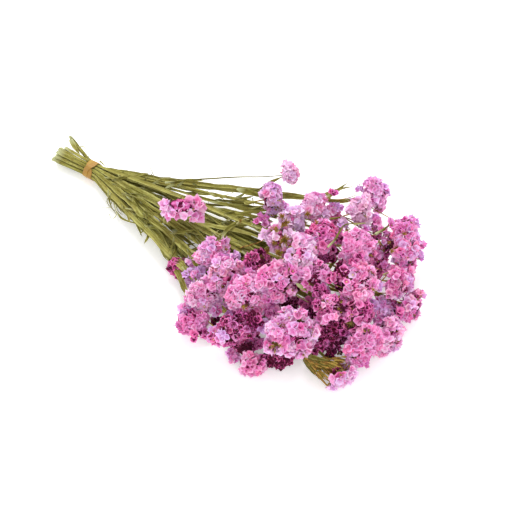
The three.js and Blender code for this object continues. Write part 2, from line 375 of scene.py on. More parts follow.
# A node group: its inputs with their kinds and values, and a function that gives its outputs.
def group(name, inputs, outputs, make):
    tree = bpy.data.node_groups.new(name, "ShaderNodeTree")
    for label, kind, value in inputs:
        socket = tree.interface.new_socket(label, in_out="INPUT", socket_type="NodeSocket" + kind)
        if value is not None:
            socket.default_value = value
    for label in outputs:
        tree.interface.new_socket(label, in_out="OUTPUT", socket_type="NodeSocketFloat")
    given, made = tree.nodes.new("NodeGroupInput"), tree.nodes.new("NodeGroupOutput")
    for label, value in zip(outputs, make(Web(tree), *(given.outputs[label] for label, _, _ in inputs))):
        tree.links.new(value, made.inputs[label])
    return tree


# Long dry fibres that run along a swept strip, with a slow fading along them.
def fibreValues(web, strip, strands, fading):
    along, around, _ = web.split(strip)
    fine = web.noise(web.vector(web.times(along, 0.55), web.times(around, strands)), 1.0, 3.0, 0.6)
    slow = web.noise(web.vector(web.times(along, fading), web.times(around, 2.0)))
    return web.spread(fine, 0.3, 0.7), web.spread(slow, 0.32, 0.68), fine


# Small blotches all over a piece, by place.
def mottleValues(web, place, size):
    return (web.spread(web.noise(place, size, 3.0), 0.35, 0.65),
            web.spread(web.noise(place, web.times(size, 9.0)), 0.58, 0.7))


dryFibres = group("dryFibres", [("Strip", "Vector", None), ("Strands", "Float", 26.0), ("Fading", "Float", 0.6)],
                  ["Fibres", "Fade", "Height"], fibreValues)
ageMottle = group("ageMottle", [("Place", "Vector", None), ("Size", "Float", 60.0)], ["Mask", "Specks"],
                  mottleValues)


def newMaterial(name):
    material = bpy.data.materials.new(name)
    material.use_nodes = True
    material.node_tree.nodes.clear()
    return material, Web(material.node_tree)


# Ends a material with a matt surface, part of which lets light through.
def papery(web, colour, height, roughness, glow, glowColour=None, bump=0.35, sheen=0.0):
    bumped = web.bump(height, bump, 0.0004)
    surface = web.add("BsdfPrincipled", {"Base Color": colour, "Roughness": roughness, "Specular IOR Level": 0.15,
                                         "Sheen Weight": sheen, "Normal": bumped}).outputs[0]
    if glow:
        through = web.add("BsdfTranslucent", {"Color": glowColour or colour, "Normal": bumped}).outputs[0]
        surface = web.add("MixShader", {0: glow, 1: surface, 2: through}).outputs[0]
    web.end(surface)


stalkLook = {"deep": (50, 42, 10), "body": (124, 120, 46), "paleLitRidge": (190, 187, 112), "brown": (108, 78, 38),
             "cut": (192, 196, 152), "khaki": (148, 132, 68)}


# A stalk's fibres: its own streaks, with painted shade on the low fibres and a painted highlight on the ones that the
# bump raises. The wings are paler at their edges and let some light through.
def stalkMaterial(name, glow, edges):
    material, web = newMaterial(name)
    look = linearLook(stalkLook)
    tone, fibres, age = web.carried("tone"), web.fibres(26.0, 0.5), web.age(34.0)
    along, around, _ = web.split(web.mapped("strip"))
    edge = web.maths("POWER", web.maths("ABSOLUTE", web.maths("COSINE", web.times(around, 2 * math.pi))), 5.0)
    shade = web.total(web.times(fibres["Fibres"], 0.66), (fibres["Fade"], 0.34), (tone, 0.35), (edge, edges),
                      offset=-0.175)
    # the fibre shades run from painted shade to a painted highlight, over the stalk's own streaks
    colour = web.ramp(shade, (0.05, look["deep"]), (0.48, look["body"]), (1.0, look["paleLitRidge"]))
    colour = web.blend(web.times(age["Mask"], web.spread(tone, 0.0, 1.0, 0.08, 0.45)), colour, look["khaki"])
    colour = web.blend(web.times(age["Specks"], 0.55), colour, look["brown"])
    colour = web.blend(web.spread(along, 1.4, 0.0, 0.0, 0.8), colour, look["cut"])
    papery(web, colour, fibres["Height"], 0.78, glow, bump=0.6)
    return material


calyxLook = {"pale": (255, 234, 249), "light": (255, 188, 229), "body": (249, 140, 202), "deep": (210, 70, 142),
             "plum": (96, 16, 52), "lilac": (222, 206, 255), "salmon": (255, 180, 196), "green": (160, 150, 74),
             "glow": (255, 214, 240)}
# How much each thing darkens a cup. The shares for the map's rows, the throat and the wall under the rim are painted
# shade: deepest for cups low on a head, down in the throat and under the rim.
calyxShade = {"ownTone": 0.5, "row": -0.22, "blotches": 0.8, "veins": 0.5, "throat": 0.22, "shadeUnderRim": 0.16,
              "rim": -0.16, "ribs": -0.05, "offset": -0.68}


# The papery cups. Their map has sixteen squares, one shade each: across it goes round a cup, and up it goes
# from the tube's foot over the rim and down into the throat.
def calyxMaterial(name, deepen=0.0):
    material, web = newMaterial(name)
    look, part = linearLook(calyxLook), calyxShade
    grid = web.add("VectorMath", {0: web.mapped("cups"), 1: (4, 4, 0)}, operation="MULTIPLY").outputs[0]
    square = web.add("VectorMath", {0: grid}, operation="FLOOR").outputs[0]
    around, along, _ = web.split(web.add("VectorMath", {0: grid}, operation="FRACTION").outputs[0])
    # the map's row: low rows are painted shade, given to cups low on a head
    row = web.maths("DIVIDE", web.split(square)[1], 3.0)
    own = web.add("TexWhiteNoise", {"Vector": square, "W": web.carried("seed")}, noise_dimensions="4D").outputs
    dark, cool, warm = web.add("SeparateColor", {0: own["Color"]}).outputs
    # blotches and fine veins within one cup
    blotches = web.noise(web.vector(web.times(around, 5.0), web.times(along, 3.0), web.times(own["Value"], 40.0)),
                         1.6, 3.0)
    veins = web.noise(web.vector(web.times(around, 46.0), web.times(along, 4.0), web.times(own["Value"], 17.0)))
    ribs = web.maths("ABSOLUTE", web.maths("SINE", web.times(around, 5 * math.pi)))
    rim = web.spread(web.maths("ABSOLUTE", web.maths("SUBTRACT", along, 0.56)), 0.0, 0.13, 1.0, 0.0)
    shade = web.total(web.carried("tone"), (dark, part["ownTone"]), (row, part["row"]),
                      (blotches, part["blotches"]), (veins, part["veins"]),
                      # painted shade down in the throat
                      (web.spread(along, 0.62, 0.95), part["throat"]),
                      # painted shade on the wall under the rim
                      (web.spread(along, 0.5, 0.36), part["shadeUnderRim"]), (rim, part["rim"]), (ribs, part["ribs"]),
                      offset=part["offset"] + deepen, clamp=True)
    colour = web.ramp(shade, (0.2, look["pale"]), (0.5, look["light"]), (0.78, look["body"]),
                      (0.97, look["deep"]), (1.0, look["plum"]))
    coolness = web.total(web.times(cool, 0.525), (web.carried("lilac"), 0.9), clamp=True)
    colour = web.blend(coolness, colour, look["lilac"], "MULTIPLY")
    colour = web.blend(web.spread(warm, 0.55, 1.0, 0.0, 0.4), colour, look["salmon"], "MULTIPLY")
    colour = web.blend(web.spread(along, 0.34, 0.05, 0.0, 0.8), colour, look["green"])
    papery(web, colour, web.total(web.times(ribs, 0.7), (veins, 0.5)), 0.82, 0.28,
           web.blend(1.0, colour, look["glow"], "MULTIPLY"), sheen=0.05)
    return material


bractLook = {"green": (134, 136, 54), "gold": (204, 166, 84), "brown": (128, 82, 40), "plum": (110, 48, 52)}


def bractMaterial(name, foot, tip):  # how ripe a bract is at its foot and at its tip
    material, web = newMaterial(name)
    look, fibres, age = linearLook(bractLook), web.fibres(12.0, 1.2), web.age(150.0)
    along = web.split(web.mapped("strip"))[0]
    ripe = web.total(web.spread(along, 0.0, 0.7, foot, tip), (age["Mask"], 0.7), offset=-0.35, clamp=True)
    colour = web.ramp(ripe, (0.0, look["green"]), (0.42, look["gold"]), (0.88, look["brown"]), (1.0, look["plum"]))
    colour = web.blend(web.times(fibres["Fibres"], 0.35), colour, look["brown"])
    papery(web, colour, fibres["Height"], 0.75, 0.12, bump=0.5)
    return material


# A plain dry finish: three shades by age, from young to old.
def agedColour(web, mask, middle, young, ripe, old):
    return web.ramp(mask, (0.0, linear(*young)), (middle, linear(*ripe)), (1.0, linear(*old)))


def strawMaterial():
    material, web = newMaterial("paleStraw")
    fibres = web.fibres(8.0, 1.5)
    colour = agedColour(web, web.age(90.0)["Mask"], 0.5, (176, 172, 112), (140, 136, 76), (96, 88, 40))
    colour = web.blend(web.times(fibres["Fibres"], 0.4), colour, linear(206, 202, 160))
    papery(web, colour, fibres["Height"], 0.75, 0.1)
    return material


def corollaMaterial():
    material, web = newMaterial("driedCorolla")
    mask = web.age(420.0)["Mask"]
    papery(web, agedColour(web, mask, 0.6, (250, 240, 214), (232, 206, 140), (150, 96, 44)), mask, 0.8, 0.2)
    return material


def bandMaterial():
    material, web = newMaterial("agedRubber")
    along, around, _ = web.split(web.mapped("strip"))
    lines = web.noise(web.vector(web.times(along, 0.5), web.times(around, 30.0)), 1.0, 3.0)
    colour = agedColour(web, web.age(70.0)["Mask"], 0.5, (164, 130, 46), (156, 114, 40), (150, 116, 60))
    colour = web.blend(web.spread(lines, 0.45, 0.75, 0.0, 0.35), colour, linear(190, 154, 82))
    web.end(web.add("BsdfPrincipled", {
        "Base Color": colour, "Roughness": web.spread(lines, 0.2, 0.8, 0.42, 0.62), "Specular IOR Level": 0.4,
        "Subsurface Weight": 0.15, "Subsurface Radius": (0.004, 0.002, 0.001),
        "Normal": web.bump(lines, 0.25, 0.0003)}).outputs[0])
    return material


stalkGreen = stalkMaterial("stalkGreen", 0, 0.0)
wingGreen = stalkMaterial("wingGreen", 0.2, 0.35)
calyxPaper = calyxMaterial("calyxPaper", 0.03)
# The hearts are deepened towards plum: painted shade in the gaps between the cups.
heartShadePaper = calyxMaterial("heartShadePaper", 0.55)
bractStraw, tuftGold = bractMaterial("bractStraw", 0.1, 0.65), bractMaterial("tuftGold", 0.66, 0.38)
driedCorolla = corollaMaterial()
paleStraw = strawMaterial()
agedRubber = bandMaterial()
say("materials")


# A stalk has a ribbed core and thin wings. Here are the two sections, the share of the core's section along a
# stalk, and the half width of its wing: at a place, or as pairs of a place and a width.
stalkShape = {
    "core": [(2.05, 0.0), (1.55, 0.75), (1.0, 1.15), (0.55, 1.9), (-0.25, 1.55), (-1.0, 1.6), (-1.5, 0.85),
             (-2.0, 0.1), (-1.6, -0.75), (-0.9, -1.2), (-0.4, -1.85), (0.35, -1.6), (1.1, -1.5), (1.5, -0.8)],
    "wing": [(-1.0, 0.16), (-0.5, -0.02), (0.0, 0.06), (0.5, 0.07), (1.0, -0.13), (0.5, 0.0), (0.0, -0.06),
             (-0.5, -0.1)],
    "coreAtTie": 1.0, "coreAtHead": 0.62, "branchCore": 0.72, "branchCoreAtHead": 0.5,
    "atCut": 3.8, "atTie": 2.2, "pastTie": (50, 4.2), "widest": (110, 5.4), "narrowing": (0.7, 4.4), "atHead": 2.4,
    "branchWing": [(0, 2.4), (0.25, 3.6), (0.8, 2.4), (1, 1.2)], "secondWing": 0.62, "secondTurn": (1.0, 2.1),
    "ripple": 0.2, "sway": 1.3, "lean": 34, "branchLean": 0.7, "twist": (0.9, 130), "branchTwist": (0.8, 60),
    "branchStep": 5, "smoothAngle": 50,
}
coreSection = sectionCurve("coreSection", stalkShape["core"])
wingSection = sectionCurve("wingSection", stalkShape["wing"])


def jittered(chance, size):
    return Vector((chance.gauss(0, 1), chance.gauss(0, 1), chance.gauss(0, 1))) * size


def settled(route, turns):  # takes the corners out of a route, ends and all else in place
    for _ in range(turns):
        route = [route[0]] + [(a + b * 2 + c) / 4 for a, b, c in zip(route, route[1:], route[2:])] + [route[-1]]
    return route


def ripple(seed, place, size):  # a smooth number from -1 to 1 along a piece
    return noise.noise(Vector((place / size, seed * 7.31, 0.37)))


def between(value, stops):
    for (x0, y0), (x1, y1) in zip(stops, stops[1:]):
        if value <= x1:
            return y0 + (y1 - y0) * max(0, (value - x0) / (x1 - x0))
    return stops[-1][1]


def sweptIn(material, *how):
    piece = swept(*how)
    piece.data.materials.append(material)
    return piece


def windStalk(number, stalk, chance):
    shape = stalkShape
    route, branches = stalkLines(stalk)
    route = settled(route, 3)
    fromTie = [-stalk["cut"]]
    for a, b in zip(route, route[1:]):
        fromTie.append(fromTie[-1] + (b - a).length / mm)
    far = fromTie[-1]
    swayed = []
    for place, s in zip(route, fromTie):
        free = shape["sway"] * mm * between(s, [(10, 0), (60, 1), (far - 50, 1), (far, 0)])
        swayed.append(place + Vector((0, ripple(number, s, 55), ripple(number + 40, s, 48))) * free)
    lean, (twist, period) = math.radians(chance.uniform(-shape["lean"], shape["lean"])), shape["twist"]
    tilts = [lean * between(s, [(-60, 1.2), (0, 0.2), (60, 1.0)]) + twist * ripple(number + 80, s, period)
             for s in fromTie]
    cores = [between(s, [(0, shape["coreAtTie"]), (far, shape["coreAtHead"])]) for s in fromTie]
    parts = [sweptIn(stalkGreen, "core", swayed, cores, tilts, coreSection)]
    widths = [(-stalk["cut"], shape["atCut"]), (-12, shape["atTie"]), (12, shape["atTie"]), shape["pastTie"],
              shape["widest"], (far * shape["narrowing"][0], shape["narrowing"][1]), (far, shape["atHead"])]
    for k, (share, turn) in enumerate(((1.0, 0.0), (shape["secondWing"], chance.uniform(*shape["secondTurn"])))):
        ragged = [stalk["slim"] * between(s, widths) * share
                  * (1 + shape["ripple"] * ripple(number + 120 + k, s, 9)
                     + 0.6 * shape["ripple"] * ripple(number + 160 + k, s, 3.5)) for s in fromTie]
        parts.append(sweptIn(wingGreen, "wing", swayed, ragged, [tilt + turn for tilt in tilts], wingSection))
    for k, points in enumerate(branches):
        limb, (twist, period) = evenly(points, shape["branchStep"] * mm), shape["branchTwist"]
        last, lean = len(limb) - 1, chance.uniform(-shape["branchLean"], shape["branchLean"])
        steps = [(n / last, n * shape["branchStep"]) for n in range(last + 1)]
        tilts = [lean + twist * ripple(number + k * 5 + 200, s, period) for _, s in steps]
        cores = [between(part, [(0, shape["branchCore"]), (1, shape["branchCoreAtHead"])]) for part, _ in steps]
        wings = [between(part, shape["branchWing"]) * (1 + shape["ripple"] * ripple(number + k * 9, s, 8))
                 for part, s in steps]
        parts += [sweptIn(stalkGreen, "limb", limb, cores, tilts, coreSection),
                  sweptIn(wingGreen, "limbWing", limb, wings, tilts, wingSection)]
    stalk["route"], stalk["fromTie"] = swayed, fromTie
    stalk["forks"] = [(points[0], (points[1] - points[0]).normalized()) for points in branches]
    whole = joined(f"stalk_{number:02d}", parts)
    whole["tone"] = chance.random()
    smooth(whole, shape["smoothAngle"])
    return keep(whole, None, "stalk", f"stem_{number:02d}")


chance = random.Random(11)
heads = [head for stalk in stalks for head in stalk["heads"]]
for index, head in enumerate(heads):
    seatHead(head)
    head["index"] = index
for number, stalk in enumerate(stalks, 1):
    for letter, head in zip("abcd", stalk["heads"]):
        head["name"] = f"{number:02d}{letter}"
    windStalk(number, stalk, chance)
say("stalks")


# Leaf blades, tendrils and straws among the stalks.
leaf = {
    "perStalk": 4, "length": (22, 58), "width": (1.5, 3.4), "shades": (0.1, 0.45, 0.85), "ragged": 0.16, "twist": 1.1,
    "outline": [(0, 0.3), (0.18, 0.9), (0.45, 1.0), (0.8, 0.7), (1, 0.08)], "tilt": 1.2,
    "between": (45, 0.86), "rise": (0.08, 0.22), "bend": (-0.12, 0.2),
    "crossers": 60, "reach": 26, "crossLength": (60, 150), "crossWidth": (1.3, 3.0), "crossWobble": (1.5, 3.5),
    "crossFrom": (35, 0.7), "crossTilt": 1.3, "crossSag": 1.4,
    "perFork": 2, "forkLength": (12, 22), "forkWidth": (1.6, 2.6),
    "curls": 84, "curlLength": (12, 32), "curlWidth": (0.9, 2.1), "curlFrom": (13, 0.72), "curlRise": (0.1, 0.5),
    "curlBend": (-0.5, 0.5), "curlTilt": 1.5,
    "hairs": 34, "hairLength": (10, 24), "hairThick": (0.3, 0.55), "hairEnds": (14, 12),
}
hairSection = sectionCurve("hairSection", [(1.0, 0), (0.3, 0.8), (-0.8, 0.55), (-0.8, -0.5), (0.2, -0.85)])
# Blades, tendrils and straws that lie at known places: points from the tie's foot, and the half width.
placedBlades = [
    ([(120, 27, 26), (125, 32, 33), (131, 38, 38)], 1.6, 0.4),
    ([(70, -39, 10), (85, -47, 13), (109, -49, 20), (122, -49, 24)], 1.5, 0.9),
    ([(122, -24, 26), (140, -32, 30), (149, -34, 28), (155, -34, 24)], 3, 0.3),
    ([(227, -26, 42), (225, -10, 44), (231, 10, 46), (229, 22, 44)], 2.6, 0.2),
    ([(240, 79, 28), (255, 90, 31), (276, 99, 35), (292, 110, 39), (306, 127, 43), (320, 140, 45)], 2.7, 0.5),
    ([(240, 37, 38), (253, 40, 41), (265, 45, 44)], 1.6, 0.6),
    ([(359, -63, 84), (366, -63, 82), (373, -61, 78)], 2.6, 0.3),
    ([(208, 4, 32), (221, 25, 38), (236, 39, 39), (252, 51, 40)], 2.3, 0.1),
    ([(221, 2, 34), (233, 22, 38), (247, 36, 40)], 2, 0.8),
    ([(138, -28, 24), (162, -35, 25), (183, -40, 26), (203, -45, 28)], 3, 0.4),
    ([(150, -34, 16), (175, -39, 18), (197, -47, 20)], 2.5, -0.3),
    ([(159, -25, 20), (184, -33, 24), (210, -37, 28)], 2.4, 0.7),
    ([(393, -104, 14), (407, -108, 18), (421, -111, 20)], 2.6, 0.2),
    ([(392, -101, 12), (409, -111, 16), (426, -117, 20)], 1.9, 0.3),
    ([(394, -103, 16), (411, -106, 22), (429, -107, 26)], 1.8, 0.1),
    ([(392, -101, 10), (406, -109, 10), (422, -117, 12)], 1.6, 0.5),
    ([(396, -102, 18), (414, -104, 26), (431, -101, 30)], 2.6, 0),
    ([(302, 90, 46), (303, 103, 46), (305, 115, 46), (309, 123, 46)], 2.4, 0.3),
    ([(109, 17, 27), (119, 30, 31), (127, 40, 32)], 2.2, 0.2),
    ([(89, 11, 26), (97, 22, 30), (102, 30, 30)], 1.6, 0.5),
    ([(85, -38, 24), (120, -31, 29), (157, -23, 31), (192, -22, 33)], 2.4, 0.2),
    ([(128, -48, 24), (141, -37, 29), (144, -25, 31)], 1.8, 0.8),
    ([(159, -37, 27), (176, -36, 31), (194, -31, 34), (205, -34, 34)], 3.2, 0.1),
    ([(106, -46, 18), (138, -57, 21), (171, -67, 22)], 2.2, 0.6),
    ([(44, -22, 20), (53, -32, 17), (64, -40, 13), (77, -45, 10)], 1.5, 0.9),
    ([(122, -49, 24), (138, -47, 27), (152, -38, 29)], 1.6, 0.4),
    ([(181, -14, 34), (209, -9, 38), (235, -3, 42), (270, 1, 46)], 3, 0.1),
    ([(184, 18, 35), (217, 24, 38), (244, 31, 40), (266, 34, 42)], 2.6, 0.2),
    ([(175, 24, 34), (201, 32, 36), (234, 41, 38)], 2.2, 0.5),
    ([(199, -22, 34), (223, -18, 38), (250, -18, 42)], 2.6, 0.3),
    ([(194, 57, 40), (207, 57, 43), (222, 58, 46), (235, 58, 48)], 4, 0.2),
    ([(-67, 33, 13), (-52, 27, 13), (-36, 20, 13)], 3.6, 0.9),
    ([(-62, 27, 13), (-46, 19, 15), (-30, 11, 17)], 2.6, 0.2),
    ([(302, 100, 50), (308, 114, 52), (312, 132, 52)], 2.2, 0.3),
]
placedStraws = [
    ([(-36, 17, 22), (-29, 20, 24), (-24, 18, 22)], 0.6), ([(-9, 3, 24), (-10, 7, 28)], 0.6),
    ([(6, 10, 25), (15, 9, 22)], 0.9), ([(81, 28, 29), (86, 23, 25)], 0.4),
    ([(91, 22, 25), (99, 30, 28), (111, 36, 28), (114, 38, 25)], 0.8),
    ([(49, -27, 15), (50, -33, 12), (55, -35, 7), (65, -36, 4)], 0.5),
    ([(191, -34, 37), (205, -41, 41), (214, -43, 43)], 0.45), ([(188, 1, 34), (207, -2, 36)], 0.9),
    ([(192, -33, 34), (209, -38, 35)], 0.7), ([(212, -29, 38), (224, -30, 39)], 0.7),
    ([(207, -19, 38), (224, -24, 41)], 0.6), ([(213, -26, 38), (216, -15, 42)], 0.6),
    ([(217, -28, 38), (222, -16, 41)], 0.5), ([(241, 20, 42), (247, 13, 40)], 0.9),
    ([(218, 58, 36), (225, 50, 34)], 0.6),
    ([(313, 131, 46), (311, 134, 49), (312, 142, 52), (321, 146, 52)], 0.35),
    ([(367, 55, 80), (377, 67, 78)], 0.8), ([(361, -69, 72), (370, -69, 71), (379, -68, 68)], 0.8),
    ([(429, 20, 62), (435, 31, 62)], 0.8), ([(232, 1, 48), (236, 12, 50), (242, 14, 50)], 0.8),
]
placedTwigs = [
    ([(105, 22, 30), (132, 41, 34), (159, 58, 38), (187, 75, 42), (213, 88, 46), (242, 108, 49)], 1),
    ([(67, -35, 16), (73, -39, 12), (81, -40, 10)], 0.5),
    ([(132, -44, 24), (139, -41, 30), (140, -32, 31)], 0.4),
    ([(284, 59, 56), (286, 65, 59), (290, 71, 58)], 0.45),
    ([(364, -2, 92), (366, 11, 94), (363, 28, 92), (360, 46, 84), (375, 68, 76)], 1),
    ([(366, 34, 88), (376, 32, 90)], 0.6), ([(391, 67, 66), (395, 82, 64), (397, 99, 60)], 1.3),
    ([(346, 151, 60), (350, 142, 57)], 0.8),
]


def stepsFrom(start, long, *ways):
    return [start] + [start + way * long for way in ways]


def wayOf(points, step, least):  # points of the tables become a smooth route that stays above the table
    way = evenly([placed(p) if not isinstance(p, Vector) else p for p in points], step * mm, 80)
    for point in way:
        point.z = max(point.z, least * mm)
    return way, len(way) - 1


def bladeAlong(points, width, tilt, step=4):
    way, last = wayOf(points, step, 0.8)
    widths = [width * between(k / last, leaf["outline"]) * (1 + leaf["ragged"] * ripple(width * 10, k * 4, 7))
              for k in range(last + 1)]
    tilts = [tilt + leaf["twist"] * ripple(width * 7 + tilt, k * 4, 26) for k in range(last + 1)]
    return swept("blade", way, widths, tilts, wingSection)


def hairAlong(points, thick):
    way, last = wayOf(points, 2.5, 0.6)
    radii = [thick * 1.5 * (1 - 0.6 * k / last) for k in range(last + 1)]
    return swept("hair", way, radii, [0.0] * (last + 1), hairSection)


def tilted(chance, kind):
    return chance.uniform(-leaf[kind], leaf[kind])


# A long leaf that leaves one stalk and comes to lie on a neighbour.
def crossingBlade(chance):
    one = stalks[chance.randrange(len(stalks))]
    if one["place"] >= 1.5:
        return None
    far = one["fromTie"][-1]
    first, share = leaf["crossFrom"]
    s0 = chance.uniform(first, far * share)
    s1 = min(far - 5, s0 + chance.uniform(*leaf["crossLength"]))
    run = [point for point, s in zip(one["route"], one["fromTie"]) if s0 <= s <= s1]
    if len(run) < 6:
        return None
    nearby = [min(other["route"], key=lambda point: (point - run[-1]).length) for other in stalks if other is not one]
    ends = [point for point in nearby if (point - run[-1]).length < leaf["reach"] * mm]
    if not ends:
        return None
    shift = ends[chance.randrange(len(ends))] - run[-1]
    seed, last = chance.uniform(0, 90), len(run) - 1
    wobble = chance.uniform(*leaf["crossWobble"]) * mm
    points = [point + shift * (k / last) ** leaf["crossSag"]
              + Vector((0, ripple(seed, k, 5), ripple(seed + 3, k, 4) + 0.5)) * wobble for k, point in enumerate(run)]
    return bladeAlong(points[::3] + [points[-1]], chance.uniform(*leaf["crossWidth"]), tilted(chance, "crossTilt"), 5)


def outwards(chance, low, high):  # a way to one side of the stalks, and more or less up
    return Vector((0, chance.choice((-1, 1)), chance.uniform(low, high))).normalized()


def spotOn(chance, first, lastOf):  # a random place on a random stalk, and the way on from it
    route = stalks[chance.randrange(len(stalks))]["route"]
    n = chance.randrange(first, lastOf(len(route)))
    return route[n], (route[n + 1] - route[n]).normalized()


def growBlades(chance):
    blades = [made for made in (crossingBlade(chance) for _ in range(leaf["crossers"])) if made]
    for start, ahead in [fork for stalk in stalks for fork in stalk["forks"]]:
        for _ in range(leaf["perFork"]):
            side, long = outwards(chance, 0, 1.2), chance.uniform(*leaf["forkLength"]) * mm
            points = stepsFrom(start - ahead * 0.1 * long, long, ahead * 0.6 + side * 0.12, ahead * 1.1 + side * 0.35)
            blades.append(bladeAlong(points, chance.uniform(*leaf["forkWidth"]), tilted(chance, "tilt")))
    low, share = leaf["between"]
    for stalk in stalks:
        route, fromTie = stalk["route"], stalk["fromTie"]
        for k in range(leaf["perStalk"]):
            spot = low + (fromTie[-1] * share - low) * (k + chance.random()) / leaf["perStalk"]
            n = next(n for n, s in enumerate(fromTie) if s >= spot)
            start, ahead = route[n], (route[n + 1] - route[n - 1]).normalized()
            side, long = outwards(chance, -0.2, 1.0), chance.uniform(*leaf["length"]) * mm
            rise, bend = chance.uniform(*leaf["rise"]), chance.uniform(*leaf["bend"])
            points = stepsFrom(start, long, ahead * 0.35 + side * rise * 0.5, ahead * 0.7 + side * rise,
                               ahead * 0.96 + side * (rise + bend))
            blades.append(bladeAlong(points, chance.uniform(*leaf["width"]), tilted(chance, "tilt")))
    first, share = leaf["curlFrom"]
    for _ in range(leaf["curls"]):
        start, ahead = spotOn(chance, first, lambda count: max(first + 1, int(count * share)))
        across = ahead.cross(up).normalized() * chance.choice((-1, 1))
        long = chance.uniform(*leaf["curlLength"]) * mm
        rise, bend = chance.uniform(*leaf["curlRise"]), chance.uniform(*leaf["curlBend"])
        points = stepsFrom(start, long, ahead * 0.3 + across * 0.12 + up * rise * 0.4,
                           ahead * 0.6 + across * (0.34 + bend * 0.2) + up * rise * 0.6,
                           ahead * 0.85 + across * (0.44 + bend) + up * rise * (0.6 + bend * 0.4))
        blades.append(bladeAlong(points, chance.uniform(*leaf["curlWidth"]), tilted(chance, "curlTilt"), 3))
    hairs, (first, spared) = [], leaf["hairEnds"]
    for _ in range(leaf["hairs"]):
        start, ahead = spotOn(chance, first, lambda count: count - spared)
        side, long = jittered(chance, 0.6) + up * 0.5, chance.uniform(*leaf["hairLength"]) * mm
        curl = ahead * chance.uniform(-0.5, 0.9) + up * chance.uniform(-0.5, 0.3)
        points = stepsFrom(start, long, ahead * 0.4 + side * 0.25, ahead * 0.8 + side * 0.6,
                           ahead * 0.7 + side + curl * 0.4, ahead * 0.4 + side * 0.9 + curl * 0.7)
        hairs.append(hairAlong(points, chance.uniform(*leaf["hairThick"])))
    blades += [bladeAlong(*row) for row in placedBlades]
    hairs += [hairAlong(*row) for row in placedStraws]
    twigs = [hairAlong(*row) for row in placedTwigs]
    groups = [(f"leaf_blades_{k + 1}", blades[k::len(leaf["shades"])], shade, 50, wingGreen)
              for k, shade in enumerate(leaf["shades"])]
    for name, parts, tone, angle, material in groups + [("tendrils", hairs, 0.0, 60, paleStraw),
                                                        ("dark_twigs", twigs, 0.0, 60, stalkGreen)]:
        whole = joined(name, parts)
        whole["tone"] = tone
        smooth(whole, angle)
        keep(whole, material, "stalk")


growBlades(random.Random(23))
say("leaves and tendrils")


# A round stack of rings, closed at both ends, for cups, bracts and corollas. Each ring starts with its radius
# and height.
def ringStack(sides, rings):
    bpy.ops.object.select_all(action="DESELECT")
    bpy.ops.mesh.primitive_circle_add(vertices=sides, radius=rings[0][0] * mm, fill_type="NGON")
    bpy.ops.object.mode_set(mode="EDIT")
    bpy.ops.mesh.select_all(action="SELECT")
    for (r0, z0, *_), (r1, z1, *_) in zip(rings, rings[1:]):
        bpy.ops.mesh.extrude_region_move(TRANSFORM_OT_translate={"value": (0, 0, (z1 - z0) * mm)})
        bpy.ops.transform.resize(value=(r1 / r0, r1 / r0, 1), center_override=(0, 0, 0))
    bpy.ops.object.mode_set(mode="OBJECT")
    return bpy.context.object


# Lays a map over a stack. spotOf takes the ring, the share of a turn, and whether the face is a round end.
def mapStack(piece, name, sides, spotOf):
    mesh = piece.data
    layer = mesh.uv_layers[0] if mesh.uv_layers else mesh.uv_layers.new()
    layer.name = name
    for face in mesh.polygons:
        corners = [divmod(mesh.loops[k].vertex_index, sides) for k in face.loop_indices]
        turns, isEnd = [turn for _, turn in corners], len({ring for ring, _ in corners}) == 1
        wraps = not isEnd and max(turns) - min(turns) > 2
        for k, (ring, turn) in zip(face.loop_indices, corners):
            layer.uv[k].vector = spotOf(ring, (turn + sides if wraps and turn < 2 else turn) / sides, isEnd)


cup = {
    "sides": 10, "kinds": 8, "lobe": 0.10, "plait": 1.0, "unevenRadius": 0.9, "unevenHeight": 0.95, "curl": 1.5,
    "rimHeight": 8.4, "scale": 0.86, "squares": 4, "seam": 0.03,
    # each ring's radius, height, share of the lobes and plaits, and place up the map
    "rings": [(0.7, 0.0, 0.0, 0.12), (1.3, 4.4, 0.1, 0.34), (5.6, 8.4, 1.0, 0.56), (4.3, 7.75, 0.8, 0.62),
              (2.3, 6.1, 0.4, 0.78), (0.9, 4.9, 0.0, 0.9)],
    "footSpot": (0.5, 0.05), "throatSpot": (0.5, 0.95), "endSpot": 0.035,
}


def cupSpot(ring, turn, isEnd):
    if isEnd:
        (x, y), spin = cup["throatSpot" if ring else "footSpot"], 2 * math.pi * turn
        x, y = x + cup["endSpot"] * math.cos(spin), y + cup["endSpot"] * math.sin(spin)
    else:
        x, y = cup["seam"] + (1 - 2 * cup["seam"]) * turn, cup["rings"][ring][3]
    return x / cup["squares"], y / cup["squares"]


def cupMaster(kind):
    rnd = random.Random(300 + kind)
    sides, rings = cup["sides"], cup["rings"]
    piece = ringStack(sides, rings)
    flatten, phase = 1 - 0.2 * rnd.random(), rnd.uniform(0, 6.28)
    lobes = [(1 if n % 2 else -1, rnd.uniform(-1, 1), rnd.uniform(-1, 1)) for n in range(sides)]
    for ring, (_, _, share, _) in enumerate(rings):
        for n, (side, far, high) in enumerate(lobes):
            vertex = piece.data.vertices[ring * sides + n]
            angle = math.atan2(vertex.co.y, vertex.co.x)
            spread = 1 + share * (cup["lobe"] * side + far * cup["unevenRadius"] / rings[2][0])
            rise = share * (cup["plait"] * side * 0.5 + high * cup["unevenHeight"]
                            + cup["curl"] * math.cos(angle * 2 + phase))
            vertex.co = (vertex.co.x * spread * flatten, vertex.co.y * spread, vertex.co.z + rise * mm)
    mapStack(piece, "cups", sides, cupSpot)
    smooth(piece, 40)
    piece.name = f"cupMaster{kind}"
    return piece


bract = {"sides": 5, "profile": [(0.4, 0.0), (1.25, 2.2), (0.7, 4.8), (0.12, 6.6)], "thin": 0.5, "bow": 0.9}


